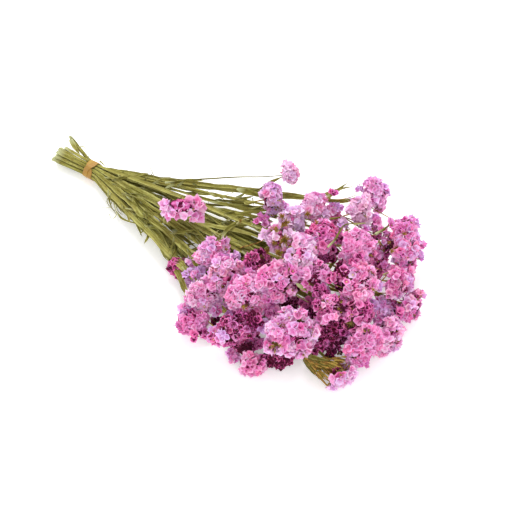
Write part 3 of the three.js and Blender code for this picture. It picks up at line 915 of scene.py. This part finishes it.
def bractMaster():
    profile = bract["profile"]
    piece = ringStack(bract["sides"], profile)
    mapStack(piece, "strip", bract["sides"], lambda ring, turn, isEnd: (profile[ring][1] / 10, turn))
    for vertex in piece.data.vertices:
        vertex.co.y = vertex.co.y * bract["thin"] + bract["bow"] * mm * (vertex.co.z / (profile[-1][1] * mm)) ** 2
    smooth(piece, 60)
    piece.name = "bractMaster"
    return piece


corolla = {"sides": 10, "radius": 1.9, "waist": 0.6, "thickness": 0.35, "tipRise": 0.7}


def corollaMaster():
    piece = ringStack(corolla["sides"], [(corolla["radius"], 0), (corolla["radius"], corolla["thickness"])])
    for n, vertex in enumerate(piece.data.vertices):
        if n % 2:
            vertex.co.x *= corolla["waist"]
            vertex.co.y *= corolla["waist"]
        else:
            vertex.co.z += corolla["tipRise"] * mm
    piece.name = "corollaMaster"
    return piece


cupMasters = [cupMaster(kind) for kind in range(cup["kinds"])]
cupMaps = {master.name: [value for spot in master.data.uv_layers["cups"].uv for value in spot.vector]
           for master in cupMasters}
bractOne, corollaOne = bractMaster(), corollaMaster()


def facing(direction, spin):
    side = direction.cross(up if abs(direction.z) < 0.95 else Vector((1, 0, 0))).normalized()
    turned = Matrix.Rotation(spin, 3, direction) @ side
    return Matrix((turned, direction.cross(turned), direction)).transposed()


# One more of a master, with its own mesh: at a place, along a direction, and kept above the table.
def another(master, place, direction, spin, scale, square=None):
    mesh = master.data.copy()
    turned = facing(direction, spin).to_4x4()
    mesh.transform(Matrix.Translation(place) @ turned @ Matrix.Diagonal((*scale, 1)))
    soft, least = 3 * mm, 0.25 * mm
    for vertex in mesh.vertices:
        if vertex.co.z < soft:
            vertex.co.z = least + (soft - least) * math.exp((vertex.co.z - soft) / soft)
    if square:  # a fresh map, because a copy still shares its master's
        mesh.uv_layers.remove(mesh.uv_layers["cups"])
        fresh = mesh.uv_layers.new(name="cups", do_init=False)
        fresh.uv.foreach_set("vector", [value + square[k % 2] / cup["squares"]
                                        for k, value in enumerate(cupMaps[master.name])])
    return linked("copy", mesh)


# Each bare tuft of spent bracts, whose cups have dropped: its middle, how many, how long they are, and
# how wide a place it keeps free of cups.
placedTufts = [
    ((318, -25, 98), 130, (1.2, 1.9), 12.5), ((322, -43, 94), 90, (1, 1.6), 10),
    ((302, 4, 91), 100, (1, 1.5), 10.5), ((314, 35, 86), 60, (0.9, 1.3), 8),
    ((357, -17, 103), 24, (0.6, 0.9), 4.5), ((300, -33, 74), 40, (0.8, 1.3), 3.5),
    ((439, -24, 88), 26, (0.7, 1.1), 3.5), ((426, 44, 80), 50, (0.8, 1.3), 3.5),
    ((235, 5, 52), 26, (0.8, 1.2), 3.5), ((253, -52, 66), 22, (0.7, 1), 3.5),
    ((388, -100, 80), 20, (0.7, 1), 3.5), ((394, -63, 78), 20, (0.7, 1), 3.5),
    ((389, -143, 78), 24, (0.8, 1.1), 3.5), ((377, -137, 62), 44, (0.9, 1.4), 0),
    ((408, -122, 51), 36, (0.8, 1.3), 0), ((363, 47, 75), 16, (0.9, 1.4), 0),
]
# Dark clefts between the heads, which cups keep out of: the middle and the width of each.
clefts = [
    ((414, -77, 58), 8), ((389, -78, 66), 8), ((355, -53, 66), 8), ((400, -33, 76), 7.5), ((432, -58, 54), 7.5),
    ((365, 18, 72), 7.5), ((379, -139, 66), 8), ((410, -124, 55), 7.5), ((227, -28, 50), 9), ((365, 44, 80), 6.5),
]
facingUs = Vector((0.355, -0.536, 0.766))  # the way from the bunch to where it is seen from
cushion = {
    # how branchlets share out the cushion
    "spacing": 13.0, "spread": 0.62, "underside": 0.46, "slices": 12, "cover": 0.9, "hexagon": 0.87,
    "goldenAngle": 2.39996, "lump": 8.0, "lumpSize": 22, "sink": (-3.4, 1.6), "scatter": 1.2, "farthest": 10,
    "twig": (1.1, 0.6), "twigGap": 11,
    # how cups stand on one branchlet
    "perBouquet": 11, "crown": 9.0, "stray": 8.0, "cell": 6, "tilt": 0.22, "looseTilt": 1.6, "rowSlip": 0.22,
    "ownSize": (0.74, 1.2), "stretch": (0.88, 1.12), "bractLength": (0.8, 1.15), "blooming": 0.05, "throatDepth": 6.4,
    # what shows between them: how many bracts in a tuft, how wide it is, and how far in it starts
    "brushTuft": (44, 0.45, 4), "hollowTuft": (14, 0.4, 5), "hollow": -0.34, "hollowShare": 0.7, "heartHeight": 0.28,
    # the rows of the cup map for cups low and high on a head, where low rows are painted shade, and the open fan of
    # bracts
    "shadeRowsBelow": (0, 1, 2, 2, 3), "shadeRowsAbove": (1, 2, 2, 3, 3), "above": 0.62, "fan": (1.1, 1.1),
    "fanAway": Vector((0.905, -0.008, -0.424)), "fanLength": (1.3, 2.2),
}
twigSection = sectionCurve("twigSection", [(0.8, 0), (0.25, 0.62), (-0.55, 0.55), (-0.75, -0.15), (-0.1, -0.7)])
taken = {}  # where cups stand, by small cells


def hides(place, spot, clear):  # whether a place is within the clear column above a spot
    off = place - placed(spot)
    ahead = off.dot(facingUs)
    return ahead > -5 * mm and (off - facingUs * ahead).length < clear * mm


def hidesTuft(place):
    return any(hides(place, spot, clear) for spot, _, _, clear in placedTufts)


def inCleft(place):
    return any(hides(place, spot, clear) for spot, clear in clefts)


def anyTurn(chance):
    return chance.uniform(0, 6.28)


# The outline of a head from its foot: radius and height.
def domeProfile(head):
    size, height, tip = head["size"], head["height"], bunch["tipRadius"]
    return [(0, 0), (tip, 0), (tip * 1.2, 0.12 * height), (0.42 * size, 0.36 * height), (0.86 * size, 0.53 * height),
            (size, 0.7 * height), (0.82 * size, 0.88 * height), (0.42 * size, 0.97 * height), (0, height)]


def domePoint(head, radius, along, angle):
    share = min(max((along / head["height"] - 0.2) / 0.35, 0), 1)
    onCushion = share * share * (3 - 2 * share)
    lobes = 3 + head["index"] % 3
    lobe = 1 + bunch["lobeDepth"] * onCushion * math.cos(lobes * angle + head["index"])
    flat = 1 + (head["flat"] - 1) * onCushion
    return (head["foot"] + head["across"] * (radius * math.cos(angle) * lobe * mm)
            + head["axis"] * (along * mm) + head["through"] * (radius * math.sin(angle) * lobe * flat * mm))


# Places spread evenly over a cushion, each with the way that faces outwards there and its share of the height.
def domeSpots(head):
    profile, bands, slices = domeProfile(head), [], cushion["slices"]
    for (r0, y0), (r1, y1) in zip(profile[3:], profile[4:]):
        for n in range(slices):
            a, b = n / slices, (n + 1) / slices
            radius, along = (r0 + (r1 - r0) * (a + b) / 2) * head["full"], y0 + (y1 - y0) * (a + b) / 2
            if along > cushion["underside"] * head["height"]:
                bands.append((radius, along, 2 * math.pi * radius * math.hypot(r1 - r0, y1 - y0) / slices,
                              Vector((y1 - y0, r0 - r1)).normalized()))
    area = sum(band[2] for band in bands)
    spacing = cushion["spacing"]
    count = max(8, round(area * cushion["cover"] / (spacing * spacing * cushion["hexagon"])))
    spots, k, passed = [], 0, 0.0
    for n in range(count):
        goal = area * (n + 0.5) / count
        while passed + bands[k][2] < goal and k < len(bands) - 1:
            passed += bands[k][2]
            k += 1
        radius, along, _, slope = bands[k]
        angle = n * cushion["goldenAngle"] + head["index"]
        outward = (head["across"] * (math.cos(angle) * slope.x)
                   + head["through"] * (math.sin(angle) * slope.x / head["flat"])
                   + head["axis"] * slope.y).normalized()
        spots.append((domePoint(head, radius, along, angle), outward, along / head["height"]))
    return spots


def handSpots(head):  # for a spray whose branchlets stand at known places, across, up and out from its middle
    return [(placed(head["at"]) + (head["across"] * u + head["through"] * v + head["axis"] * w) * mm,
             (head["axis"] + head["across"] * (u / 45) + head["through"] * (v / 40)).normalized(), 0.8)
            for u, v, w in head["hand"]]


def nodeTree(name):
    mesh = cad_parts[name].data
    return BVHTree.FromPolygons([v.co.copy() for v in mesh.vertices], [tuple(p.vertices) for p in mesh.polygons])


def isFree(place, least):
    cell = tuple(int(c // (cushion["cell"] * mm)) for c in place)
    for step in product((-1, 0, 1), repeat=3):
        for other in taken.get(tuple(map(sum, zip(cell, step))), ()):
            if (other - place).length < least * mm:
                return False
    taken.setdefault(cell, []).append(place)
    return True


def tuft(spot, aim, count, wide, rnd, long=(0.9, 1.5), thick=0.65):
    made = []
    for _ in range(count):
        spread = (aim + jittered(rnd, wide)).normalized()
        made.append(another(bractOne, spot - spread * (2 * mm), spread, anyTurn(rnd),
                            (thick, thick, rnd.uniform(*long))))
    return made


def tuftIn(spot, aim, kind, rnd):
    count, wide, depth = cushion[kind]
    return tuft(spot - aim * (depth * mm), aim, count, wide, rnd)


# Cups on the end of one branchlet: they stand apart like the fingers of an open hand. All draws come before
# the last test, so that a cleft takes cups away and changes nothing else.
def bouquet(centre, aim, radius, count, row, rnd, parts, head=anyHead, solid=None):
    side = facing(aim, anyTurn(rnd))
    right, other, crown = side.col[0], side.col[1], cushion["crown"] * mm
    tilt = cushion["tilt"] * crown * (cushion["looseTilt"] if head["nearest"] > 5 else 1)
    for k in range(count):
        out, spin = radius * math.sqrt((k + 0.4) / count), k * cushion["goldenAngle"]
        lateral = (right * math.cos(spin) + other * math.sin(spin)) * out
        place = centre + lateral - aim * (out * out / (2 * crown)) + jittered(rnd, 0.5 * mm)
        if place.z < 1.2 * mm or hidesTuft(place) or not isFree(place, head["nearest"]):
            continue
        if solid:
            surface = solid.find_nearest(place)[0]
            if surface is None or (surface - place).length > cushion["stray"] * mm:
                continue
        way = (aim * crown + lateral + jittered(rnd, tilt)).normalized()
        own = head["cupSize"] * cup["scale"] * rnd.uniform(*cushion["ownSize"])
        seat = place - way * (cup["rimHeight"] * own * mm)
        column = rnd.randrange(4)
        slip = (rnd.random() < cushion["rowSlip"]) - (rnd.random() < cushion["rowSlip"])
        square = (column, min(3, max(0, row + slip)))
        stretch = (own * rnd.uniform(*cushion["stretch"]), own * rnd.uniform(*cushion["stretch"]), own)
        kind, spin, blooms = rnd.randrange(cup["kinds"]), anyTurn(rnd), rnd.random() < cushion["blooming"]
        bloomSpin = anyTurn(rnd) if blooms else 0
        turn, long = anyTurn(rnd), rnd.uniform(*cushion["bractLength"])
        if inCleft(place):
            continue
        parts["cups"].append(another(cupMasters[kind], seat, way, spin, stretch, square))
        if blooms:
            parts["corollas"].append(another(corollaOne, seat + way * (cushion["throatDepth"] * own * mm), way,
                                             bloomSpin, (own * 0.8, own * 0.8, own)))
        lean = facing(way, turn).col[0]
        parts["bracts"].append(another(bractOne, seat - way * (1.0 * mm) + lean * (0.6 * mm),
                                       (way + lean * 0.2).normalized(), turn, (1.0, 1.0, long)))


def twig(*places):
    route = [place.copy() for place in places]
    for point in route:
        point.z = max(point.z, 1.4 * mm)
    way = evenly(route, 0.005, 60)
    last, (thick, thin) = len(way) - 1, cushion["twig"]
    radii = [thick + (thin - thick) * k / last for k in range(last + 1)]
    return swept("twig", way, radii, [0.0] * (last + 1), twigSection)


# The crushed older cups inside a head, which close the gaps between the outer ones. Their deep plum is painted shade
# in those gaps.
def heart(name, middle, ways, sizes, seed):
    bpy.ops.object.select_all(action="DESELECT")
    bpy.ops.mesh.primitive_ico_sphere_add(subdivisions=4, radius=1)
    piece = bpy.context.object
    layer = piece.data.uv_layers[0] if piece.data.uv_layers else piece.data.uv_layers.new()
    layer.name = "cups"
    for vertex in piece.data.vertices:
        way = vertex.co.normalized()
        crush = (1 + 0.3 * noise.noise(way * 2.6 + Vector((seed, 0, 0)))
                 + 0.16 * noise.noise(way * 7 + Vector((0, seed, 0))) + 0.1 * noise.noise(way * 15))
        spot = middle + (ways[0] * (way.x * sizes[0]) + ways[1] * (way.y * sizes[1])
                         + ways[2] * (way.z * sizes[2])) * crush
        spot.z = max(spot.z, 0.4 * mm)
        vertex.co = spot
    smooth(piece, 24)
    piece.name = name
    return piece


def toned(piece, head):
    piece.data.uv_layers.active = piece.data.uv_layers["cups"]
    piece.data.uv_layers.new(name="OFBake")
    piece["tone"], piece["lilac"], piece["seed"] = head["tone"], head["lilac"], head["index"] * 1.7
    return piece


# Where the branchlets of a head end, with the twig that leads to each.
def branchlets(head, rnd, solid):
    foot, axis, loose = head["foot"], head["axis"], head["loose"]
    focus, knee = (foot + axis * (share * head["height"] * mm) for share in (0.28, 0.3))
    spots, twigs = [], []
    for spot, outward, along in handSpots(head) if head["hand"] else domeSpots(head):
        lump = noise.noise(spot / (cushion["lumpSize"] * mm) + Vector((head["index"], 0, 0)))
        spot = (spot + outward * ((lump * cushion["lump"] + rnd.uniform(*cushion["sink"]) * loose) * mm)
                + jittered(rnd, cushion["scatter"] * loose * mm))
        nearest = solid.find_nearest(spot)[0]
        if nearest is None or (nearest - spot).length > cushion["farthest"] * mm:
            continue
        aim = (outward * 0.55 + (spot - focus).normalized() * 0.45 + jittered(rnd, 0.1)).normalized()
        spots.append((spot, aim, along, outward.dot(facingUs), lump))
        base = spot - aim * (cushion["twigGap"] * mm)
        if (base - foot).dot(axis) > 0:
            twigs.append(twig(foot - axis * (1.5 * mm), knee + (base - foot) * 0.15, base))
    return spots, twigs


def buildHead(head, rnd, corollas):
    name, foot, axis = head["name"], head["foot"], head["axis"]
    node = f"flower_head_{name}"
    solid = nodeTree(node)
    parts = {"cups": [], "bracts": [], "corollas": []}
    tufts, brush = head["tufts"], head["brush"]
    spots, twigs = branchlets(head, rnd, solid)
    twigs = [joined("twigs", twigs)] if twigs else []
    for spot, aim, along, shown, lump in spots:
        if head["fan"] and (spot - placed(head["at"])).dot(cushion["fanAway"]) < 2 * mm:
            continue
        if (brush and shown > 0.3) or (tufts and shown > 0.5 and rnd.random() < 0.5):
            tufts = max(0, tufts - 1)
            parts["bracts"] += tuftIn(spot, aim, "brushTuft", rnd)
            if brush or rnd.random() < 0.6:
                continue
        if lump < cushion["hollow"] and rnd.random() < cushion["hollowShare"]:
            parts["bracts"] += tuftIn(spot, aim, "hollowTuft", rnd)
            continue
        # cups low on a head take low map rows: painted shade
        row = rnd.choice(cushion["shadeRowsBelow" if along < cushion["above"] else "shadeRowsAbove"])
        bouquet(spot, aim, cushion["spacing"] * cushion["spread"] * mm, cushion["perBouquet"], row, rnd, parts, head,
                solid)
    for _ in range(head["fan"]):  # an open fan of bracts from its apex to the cushion
        apex = placed(head["apex"])
        tip = domePoint(head, head["size"] * rnd.uniform(0.2, 0.9), head["height"] * 0.6, anyTurn(rnd))
        way, start = (tip - apex).normalized(), apex + (tip - apex) * rnd.uniform(0.05, 0.8)
        if start.z > 1.5 * mm:
            parts["bracts"].append(another(bractOne, start, (way + jittered(rnd, 0.08)).normalized(), anyTurn(rnd),
                                           (*cushion["fan"], rnd.uniform(*cushion["fanLength"]))))
    middle = foot + axis * (0.62 * head["height"] * mm)
    wide = head["size"] * head["full"] * head["heart"] * mm
    core = heart(f"heart_{name}", middle, (head["across"], head["through"], axis),
                 (wide, wide * head["flat"], head["height"] * cushion["heartHeight"] * mm),
                 head["index"] * 1.37)
    keep(toned(core, head), heartShadePaper, "calyx")
    if parts["cups"]:
        keep(toned(joined(f"cups_{name}", parts["cups"]), head), calyxPaper, "calyx", node)
    keep(joined(f"bracts_{name}", twigs + parts["bracts"]), bractStraw, "stalk", node)
    if parts["corollas"]:
        corollas.append(joined("driedFlowers", parts["corollas"]))
    return len(parts["cups"]), len(parts["bracts"])


rnd = random.Random(8)
blossoms, cupCount, bractCount = [], 0, 0
for stalk in sorted(stalks, key=lambda s: -max(h["at"][2] for h in s["heads"])):
    for head in stalk["heads"]:
        made = buildHead(head, rnd, blossoms)
        cupCount, bractCount = cupCount + made[0], bractCount + made[1]
    say(f"heads of stalk {stalk['heads'][0]['name'][:2]}: {cupCount} cups and {bractCount} bracts so far")


# Small side sprays join the heads to one another. Each that stands apart has the middle of its top, its radius,
# and its tone.
# The deepest tones, in the gaps between the heads, are partly painted shade.
placedSprays = [
    (447, -5, 36, 19, 0.3), (345, -51, 24, 16, 0.95), (383, 96, 44, 10, 0.55), (345, -124, 24, 10, 0.9),
    (425, -83, 24, 10, 0.92), (359, 5, 66, 8, 0.6), (317, 98, 44, 9, 0.3), (343, 78, 50, 8, 0.2),
    (354, 160, 46, 10, 0.25), (281, -115, 34, 8, 0.5), (440, 100, 34, 9, 0.4), (328, -147, 16, 8, 0.5),
    (461, -71, 20, 8, 0.45), (422, 49, 46, 8, 0.5), (287, -104, 36, 8, 0.5), (418, 130, 46, 6, 0.4),
    (226, -93, 22, 5, 0.2), (258, -46, 46, 7, 0.4), (445, 71, 40, 7, 0.45), (429, -61, 30, 8, 0.85),
    (372, -51, 40, 8, 0.7), (331, -75, 34, 9, 0.5), (333, -54, 44, 9, 0.6), (276, -57, 50, 7, 0.3),
    (260, 30, 42, 7, 0.45), (394, 97, 46, 8, 0.5), (372, 105, 50, 7, 0.25), (431, 11, 54, 6, 0.3),
    (322, 103, 44, 7, 0.25), (437, 112, 36, 6, 0.45), (284, -138, 16, 6, 0.8), (451, 19, 20, 8, 0.85),
    (260, 64, 46, 6, 0.35), (384, 82, 40, 7, 0.9), (214, -71, 34, 8, 0.2), (223, -87, 30, 8, 0.35),
    (232, -66, 42, 8, 0.25), (233, -83, 40, 8, 0.4), (250, 31, 42, 8, 0.55), (289, -15, 80, 8, 0),
    (294, -6, 84, 7, 0), (314, -6, 92, 7, 0.05), (297, -88, 66, 9, 0.45), (333, -96, 70, 8, 0.5),
    (258, -86, 56, 8, 0.4), (307, -106, 56, 8, 0.5), (340, -92, 78, 8, 0.5), (260, -118, 40, 7, 0.45),
    (262, -65, 60, 8, 0.4), (306, -75, 74, 8, 0.5), (305, -119, 40, 7, 0.35), (304, -137, 36, 8, 0.3),
    (297, -145, 24, 7, 0.4), (350, -117, 56, 8, 0.35), (357, 160, 46, 8, 0.3), (331, 135, 52, 6, 0.3),
    (414, 122, 60, 5, 0.2), (378, 99, 54, 5, 0.5), (401, 77, 54, 5, 0.5), (459, 39, 40, 5, 0.4),
    (249, -132, 34, 6, 0.4), (381, -32, 50, 7, 0.5), (363, 13, 60, 6, 0.9), (282, -120, 20, 7, 0.95),
    (402, -96, 24, 8, 0.95), (310, 107, 58, 5, 0.6), (394, -121, 88, 7, 0.42), (349, -76, 92, 7, 0.5),
    (327, -112, 46, 8, 1), (432, 108, 50, 5, 0.3), (278, -154, 24, 5, 0.6), (375, 75, 60, 5, 0.4),
    (341, -121, 68, 9, 1), (403, -27, 99, 6, 0.95), (409, -66, 42, 7, 1), (383, -66, 48, 7, 1),
    (348, -42, 50, 7, 1), (394, -21, 60, 6, 0.95), (427, -49, 40, 6, 1), (359, 30, 56, 6, 1),
    (347, -95, 60, 8, 0.55), (318, -158, 58, 7, 0.35), (401, 93, 70, 6, 0.5),
]
# A spray between two heads is deepened and takes low map rows, both painted shade in the gap.
spray = {"radius": 8.0, "radiusShare": (0.8, 1.15), "leastGap": -10, "mostGap": 15, "shades": 6, "reach": 0.85,
         "ringShare": 0.62, "branchlet": 12, "firstIndex": 50, "lilac": 0.15, "ringFrom": 10, "inRing": 0.5,
         "ringDrop": 0.2, "cupRoom": 2.7, "leastCups": 5, "twigGap": (10, 0.3), "stemGap": 12, "lift": (0.1, 0.55),
         "shadeInGaps": (-0.05, 0.3), "bridgeShadeRows": (0, 1, 2), "row": 2}
sprayGroups = {}


def sprayParts(tone):
    key = round(tone * spray["shades"])
    return sprayGroups.setdefault(key, {"cups": [], "bracts": [], "corollas": blossoms, "twigs": []})


def routePoint(place):
    return min((point for stalk in stalks for point in stalk["route"]), key=lambda point: (point - place).length)


def addSpray(spot, aim, radius, tone, row, root):
    parts = sprayParts(tone)
    before, out = len(parts["cups"]), radius * spray["ringShare"]
    ring = 0 if radius < spray["ringFrom"] else round(2 * math.pi * out / spray["branchlet"])
    side = facing(aim, anyTurn(rnd))
    small = radius if ring == 0 else radius * spray["inRing"]
    spots = [(spot, aim)]
    for k in range(ring):
        lateral = side.col[0] * math.cos(k * 6.28 / ring) + side.col[1] * math.sin(k * 6.28 / ring)
        spots.append((spot + lateral * (out * mm) - aim * (radius * spray["ringDrop"] * mm),
                      (aim + lateral * 0.5).normalized()))
    count = max(spray["leastCups"], round((small / spray["cupRoom"]) ** 2))
    for place, way in spots:
        bouquet(place + jittered(rnd, 1.0 * mm), way, small * mm, count, row, rnd, parts)
    if len(parts["cups"]) > before:
        gap, share = spray["twigGap"]
        base = spot - aim * ((gap + radius * share) * mm)
        parts["twigs"].append(twig(root, root.lerp(base, 0.7) - Vector((0, 0, 2 * mm)), base))


# A small spray between two heads that nearly touch.
def bridge(one, other):
    a, b = placed(one["at"]), placed(other["at"])
    apart = (a - b).length / mm - spray["reach"] * (one["size"] + other["size"])
    apartOnly = any(head["brush"] or head["fan"] or head["alone"] for head in (one, other))
    if apartOnly or not spray["leastGap"] < apart < spray["mostGap"]:
        return False
    share = one["size"] / (one["size"] + other["size"])
    spot = a.lerp(b, share) + up * (rnd.uniform(*spray["lift"]) * min(one["size"], other["size"]) * mm)
    aim = (spot - (one["foot"] + other["foot"]) / 2).normalized()
    aim = (aim + up * 0.4 + jittered(rnd, 0.15)).normalized()
    # painted shade: a spray in the gap between two heads is deepened and takes low map rows
    tone = (one["tone"] + other["tone"]) / 2 + rnd.uniform(*spray["shadeInGaps"])
    nearer = min((one["foot"], other["foot"]), key=lambda foot: (foot - spot).length)
    radius = spray["radius"] * rnd.uniform(*spray["radiusShare"])
    addSpray(spot, aim, radius, min(1, tone), rnd.choice(spray["bridgeShadeRows"]), nearer)
    return True


for cell, places in taken.items():  # cups that a cleft took away leave their place free
    taken[cell] = [place for place in places if not inCleft(place)]
bridges = sum(bridge(one, other) for one, other in combinations(heads, 2))
for x, y, z, size, tone in placedSprays:
    spot = placed((x, y, z))
    aim = (up * 0.8 + Vector((0.35, 0.5 * y / 150, 0)) + jittered(rnd, 0.1)).normalized()
    root = routePoint(spot - aim * (spray["stemGap"] * mm) - Vector((34 * mm, 0, 4 * mm)))
    addSpray(spot, aim, size, tone, spray["row"], root)
spent = []
for spot, count, long, clear in placedTufts:
    aim = (Vector((0.3, -0.3, 0.9)) + jittered(rnd, 0.12)).normalized()
    spent += tuft(placed(spot) - aim * (3 * mm), aim, count, 0.42 if clear < 5 else 0.6, rnd, long, 0.42)
keep(joined("spent_tufts", spent), tuftGold, "stalk")
for key, parts in sorted(sprayGroups.items()):
    look = {"tone": key / spray["shades"], "lilac": spray["lilac"], "index": spray["firstIndex"] + key}
    if parts["cups"]:
        keep(toned(joined(f"spray_cups_{key}", parts["cups"]), look), calyxPaper, "calyx")
        keep(joined(f"spray_bracts_{key}", parts["twigs"] + parts["bracts"]), bractStraw, "stalk")
say(f"sprays: {bridges} bridges, {len(placedSprays)} placed")
keep(joined("dried_corollas", blossoms), driedCorolla, "calyx")


# The rubber band is one flat loop wound twice, so that its turns cross.
band = {"width": 6.9, "thickness": 1.05, "steps": 90, "apart": 3.2, "clear": 0.3, "cross": 2.1, "crossing": 7,
        "over": 1.1, "overLength": 0.07, "wave": 0.3, "swell": 0.05}
bandSection = sectionCurve("bandSection", [(x * band["thickness"], y * band["width"]) for x, y in (
    (-0.5, -0.47), (-0.3, -0.5), (0.34, -0.5), (0.5, -0.44), (0.44, -0.15), (0.47, 0.2), (0.5, 0.44), (0.34, 0.5),
    (-0.3, 0.5), (-0.5, 0.47))])


def bundleOutline(angle, out):  # the outline of stalks packed in a hexagon, in a direction from its middle
    corner, bend = 2 * bunch["pitch"], bunch["stalkRadius"] + out
    flat = corner * math.cos(math.pi / 6)
    off = abs(angle % (math.pi / 3) - math.pi / 6)
    if (flat + bend) * math.tan(off) <= corner / 2:
        return (flat + bend) / math.cos(off)
    turn = math.pi / 6 - off
    return corner * math.cos(turn) + math.sqrt(bend * bend - (corner * math.sin(turn)) ** 2)


def windBand():
    count = band["steps"] * 2
    route = []
    for n in range(count):
        angle, lap = 2 * math.pi * n / band["steps"] + band["cross"], n / count
        swap = math.tanh(band["crossing"] * math.sin(2 * math.pi * lap))  # which side of the pair this turn lies on
        climbs = math.exp(-((lap - 0.5) / band["overLength"]) ** 2)  # where it goes over the other turn
        reach = bundleOutline(angle, band["clear"] + band["thickness"] / 2 + band["over"] * climbs)
        sideways = band["apart"] * swap + band["wave"] * math.sin(3 * angle)
        route.append(Vector((reach * math.cos(angle), reach * math.sin(angle), sideways)) * mm)
    piece = swept("elastic_band", route, [1 + band["swell"] * math.sin(n * 0.13) for n in range(count)],
                  [0.0] * count, bandSection, closed=True)
    onEnd = Matrix(((0, 0, 1, 0), (1, 0, 0, 0), (0, 1, 0, 0), (0, 0, 0, 1)))
    piece.data.transform(Matrix.Translation(placed((0, 0, bunch["tieHeight"]))) @ onEnd)
    smooth(piece, 45)
    return piece


keep(windBand(), agedRubber, "band", "rubber_band")
say("band")

for leftover in cupMasters + [bractOne, corollaOne, coreSection, wingSection, twigSection, hairSection, bandSection]:
    bpy.data.objects.remove(leftover)


# The floor, the light and the camera.
bpy.ops.object.select_all(action="DESELECT")
bpy.ops.mesh.primitive_plane_add(size=12, location=(0, 0, -0.0002))
floor = bpy.context.object
floor.name = "floor"
floorWhite, web = newMaterial("floorWhite")
web.end(web.add("BsdfPrincipled", {"Base Color": (0.9, 0.9, 0.9, 1), "Roughness": 0.9, "Specular IOR Level": 0.1,
                                   "Emission Color": (1, 1, 1, 1), "Emission Strength": 0.3}).outputs[0])
floor.data.materials.append(floorWhite)
floor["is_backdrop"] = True

world = bpy.data.worlds.new("softWhite")
bpy.context.scene.world = world
world.use_nodes = True
for socket, value in enumerate(((1, 1, 1, 1), 0.97)):
    world.node_tree.nodes["Background"].inputs[socket].default_value = value

# Each softbox: where it hangs, what it points at, how wide and how strong it is.
softboxes = {"mainSoftbox": ((-0.5, 0.8, 1.6), (0, 0, 0), 1.0, 25),
             "frontSoftbox": ((0.9, -1.2, 1.1), (0.1, 0, 0), 1.2, 8)}
view = {"target": (279.4, -26.9, 45), "distance": 1475, "lens": 85, "sensor": 36}


def hung(name, thing, place, back):  # an object that looks away from where its back points
    holder = linked(name, thing)
    holder.location = place
    holder.rotation_mode = "QUATERNION"
    holder.rotation_quaternion = back.to_track_quat("Z", "Y")
    return holder


for name, (place, target, size, power) in softboxes.items():
    lamp = bpy.data.lights.new(name, "AREA")
    lamp.shape, lamp.size, lamp.energy = "DISK", size, power
    hung(name, lamp, place, Vector(place) - Vector(target))
camera = bpy.data.cameras.new("camera")
camera.lens, camera.sensor_width = view["lens"], view["sensor"]
back = facingUs.normalized()
bpy.context.scene.camera = hung("camera", camera, placed(view["target"]) + back * view["distance"] * mm, back)
bpy.context.scene.view_settings.view_transform = "Standard"

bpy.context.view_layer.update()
triangles = sum(len(p.vertices) - 2 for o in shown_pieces() for p in o.data.polygons)
say(f"{len(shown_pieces())} pieces, {triangles} triangles")
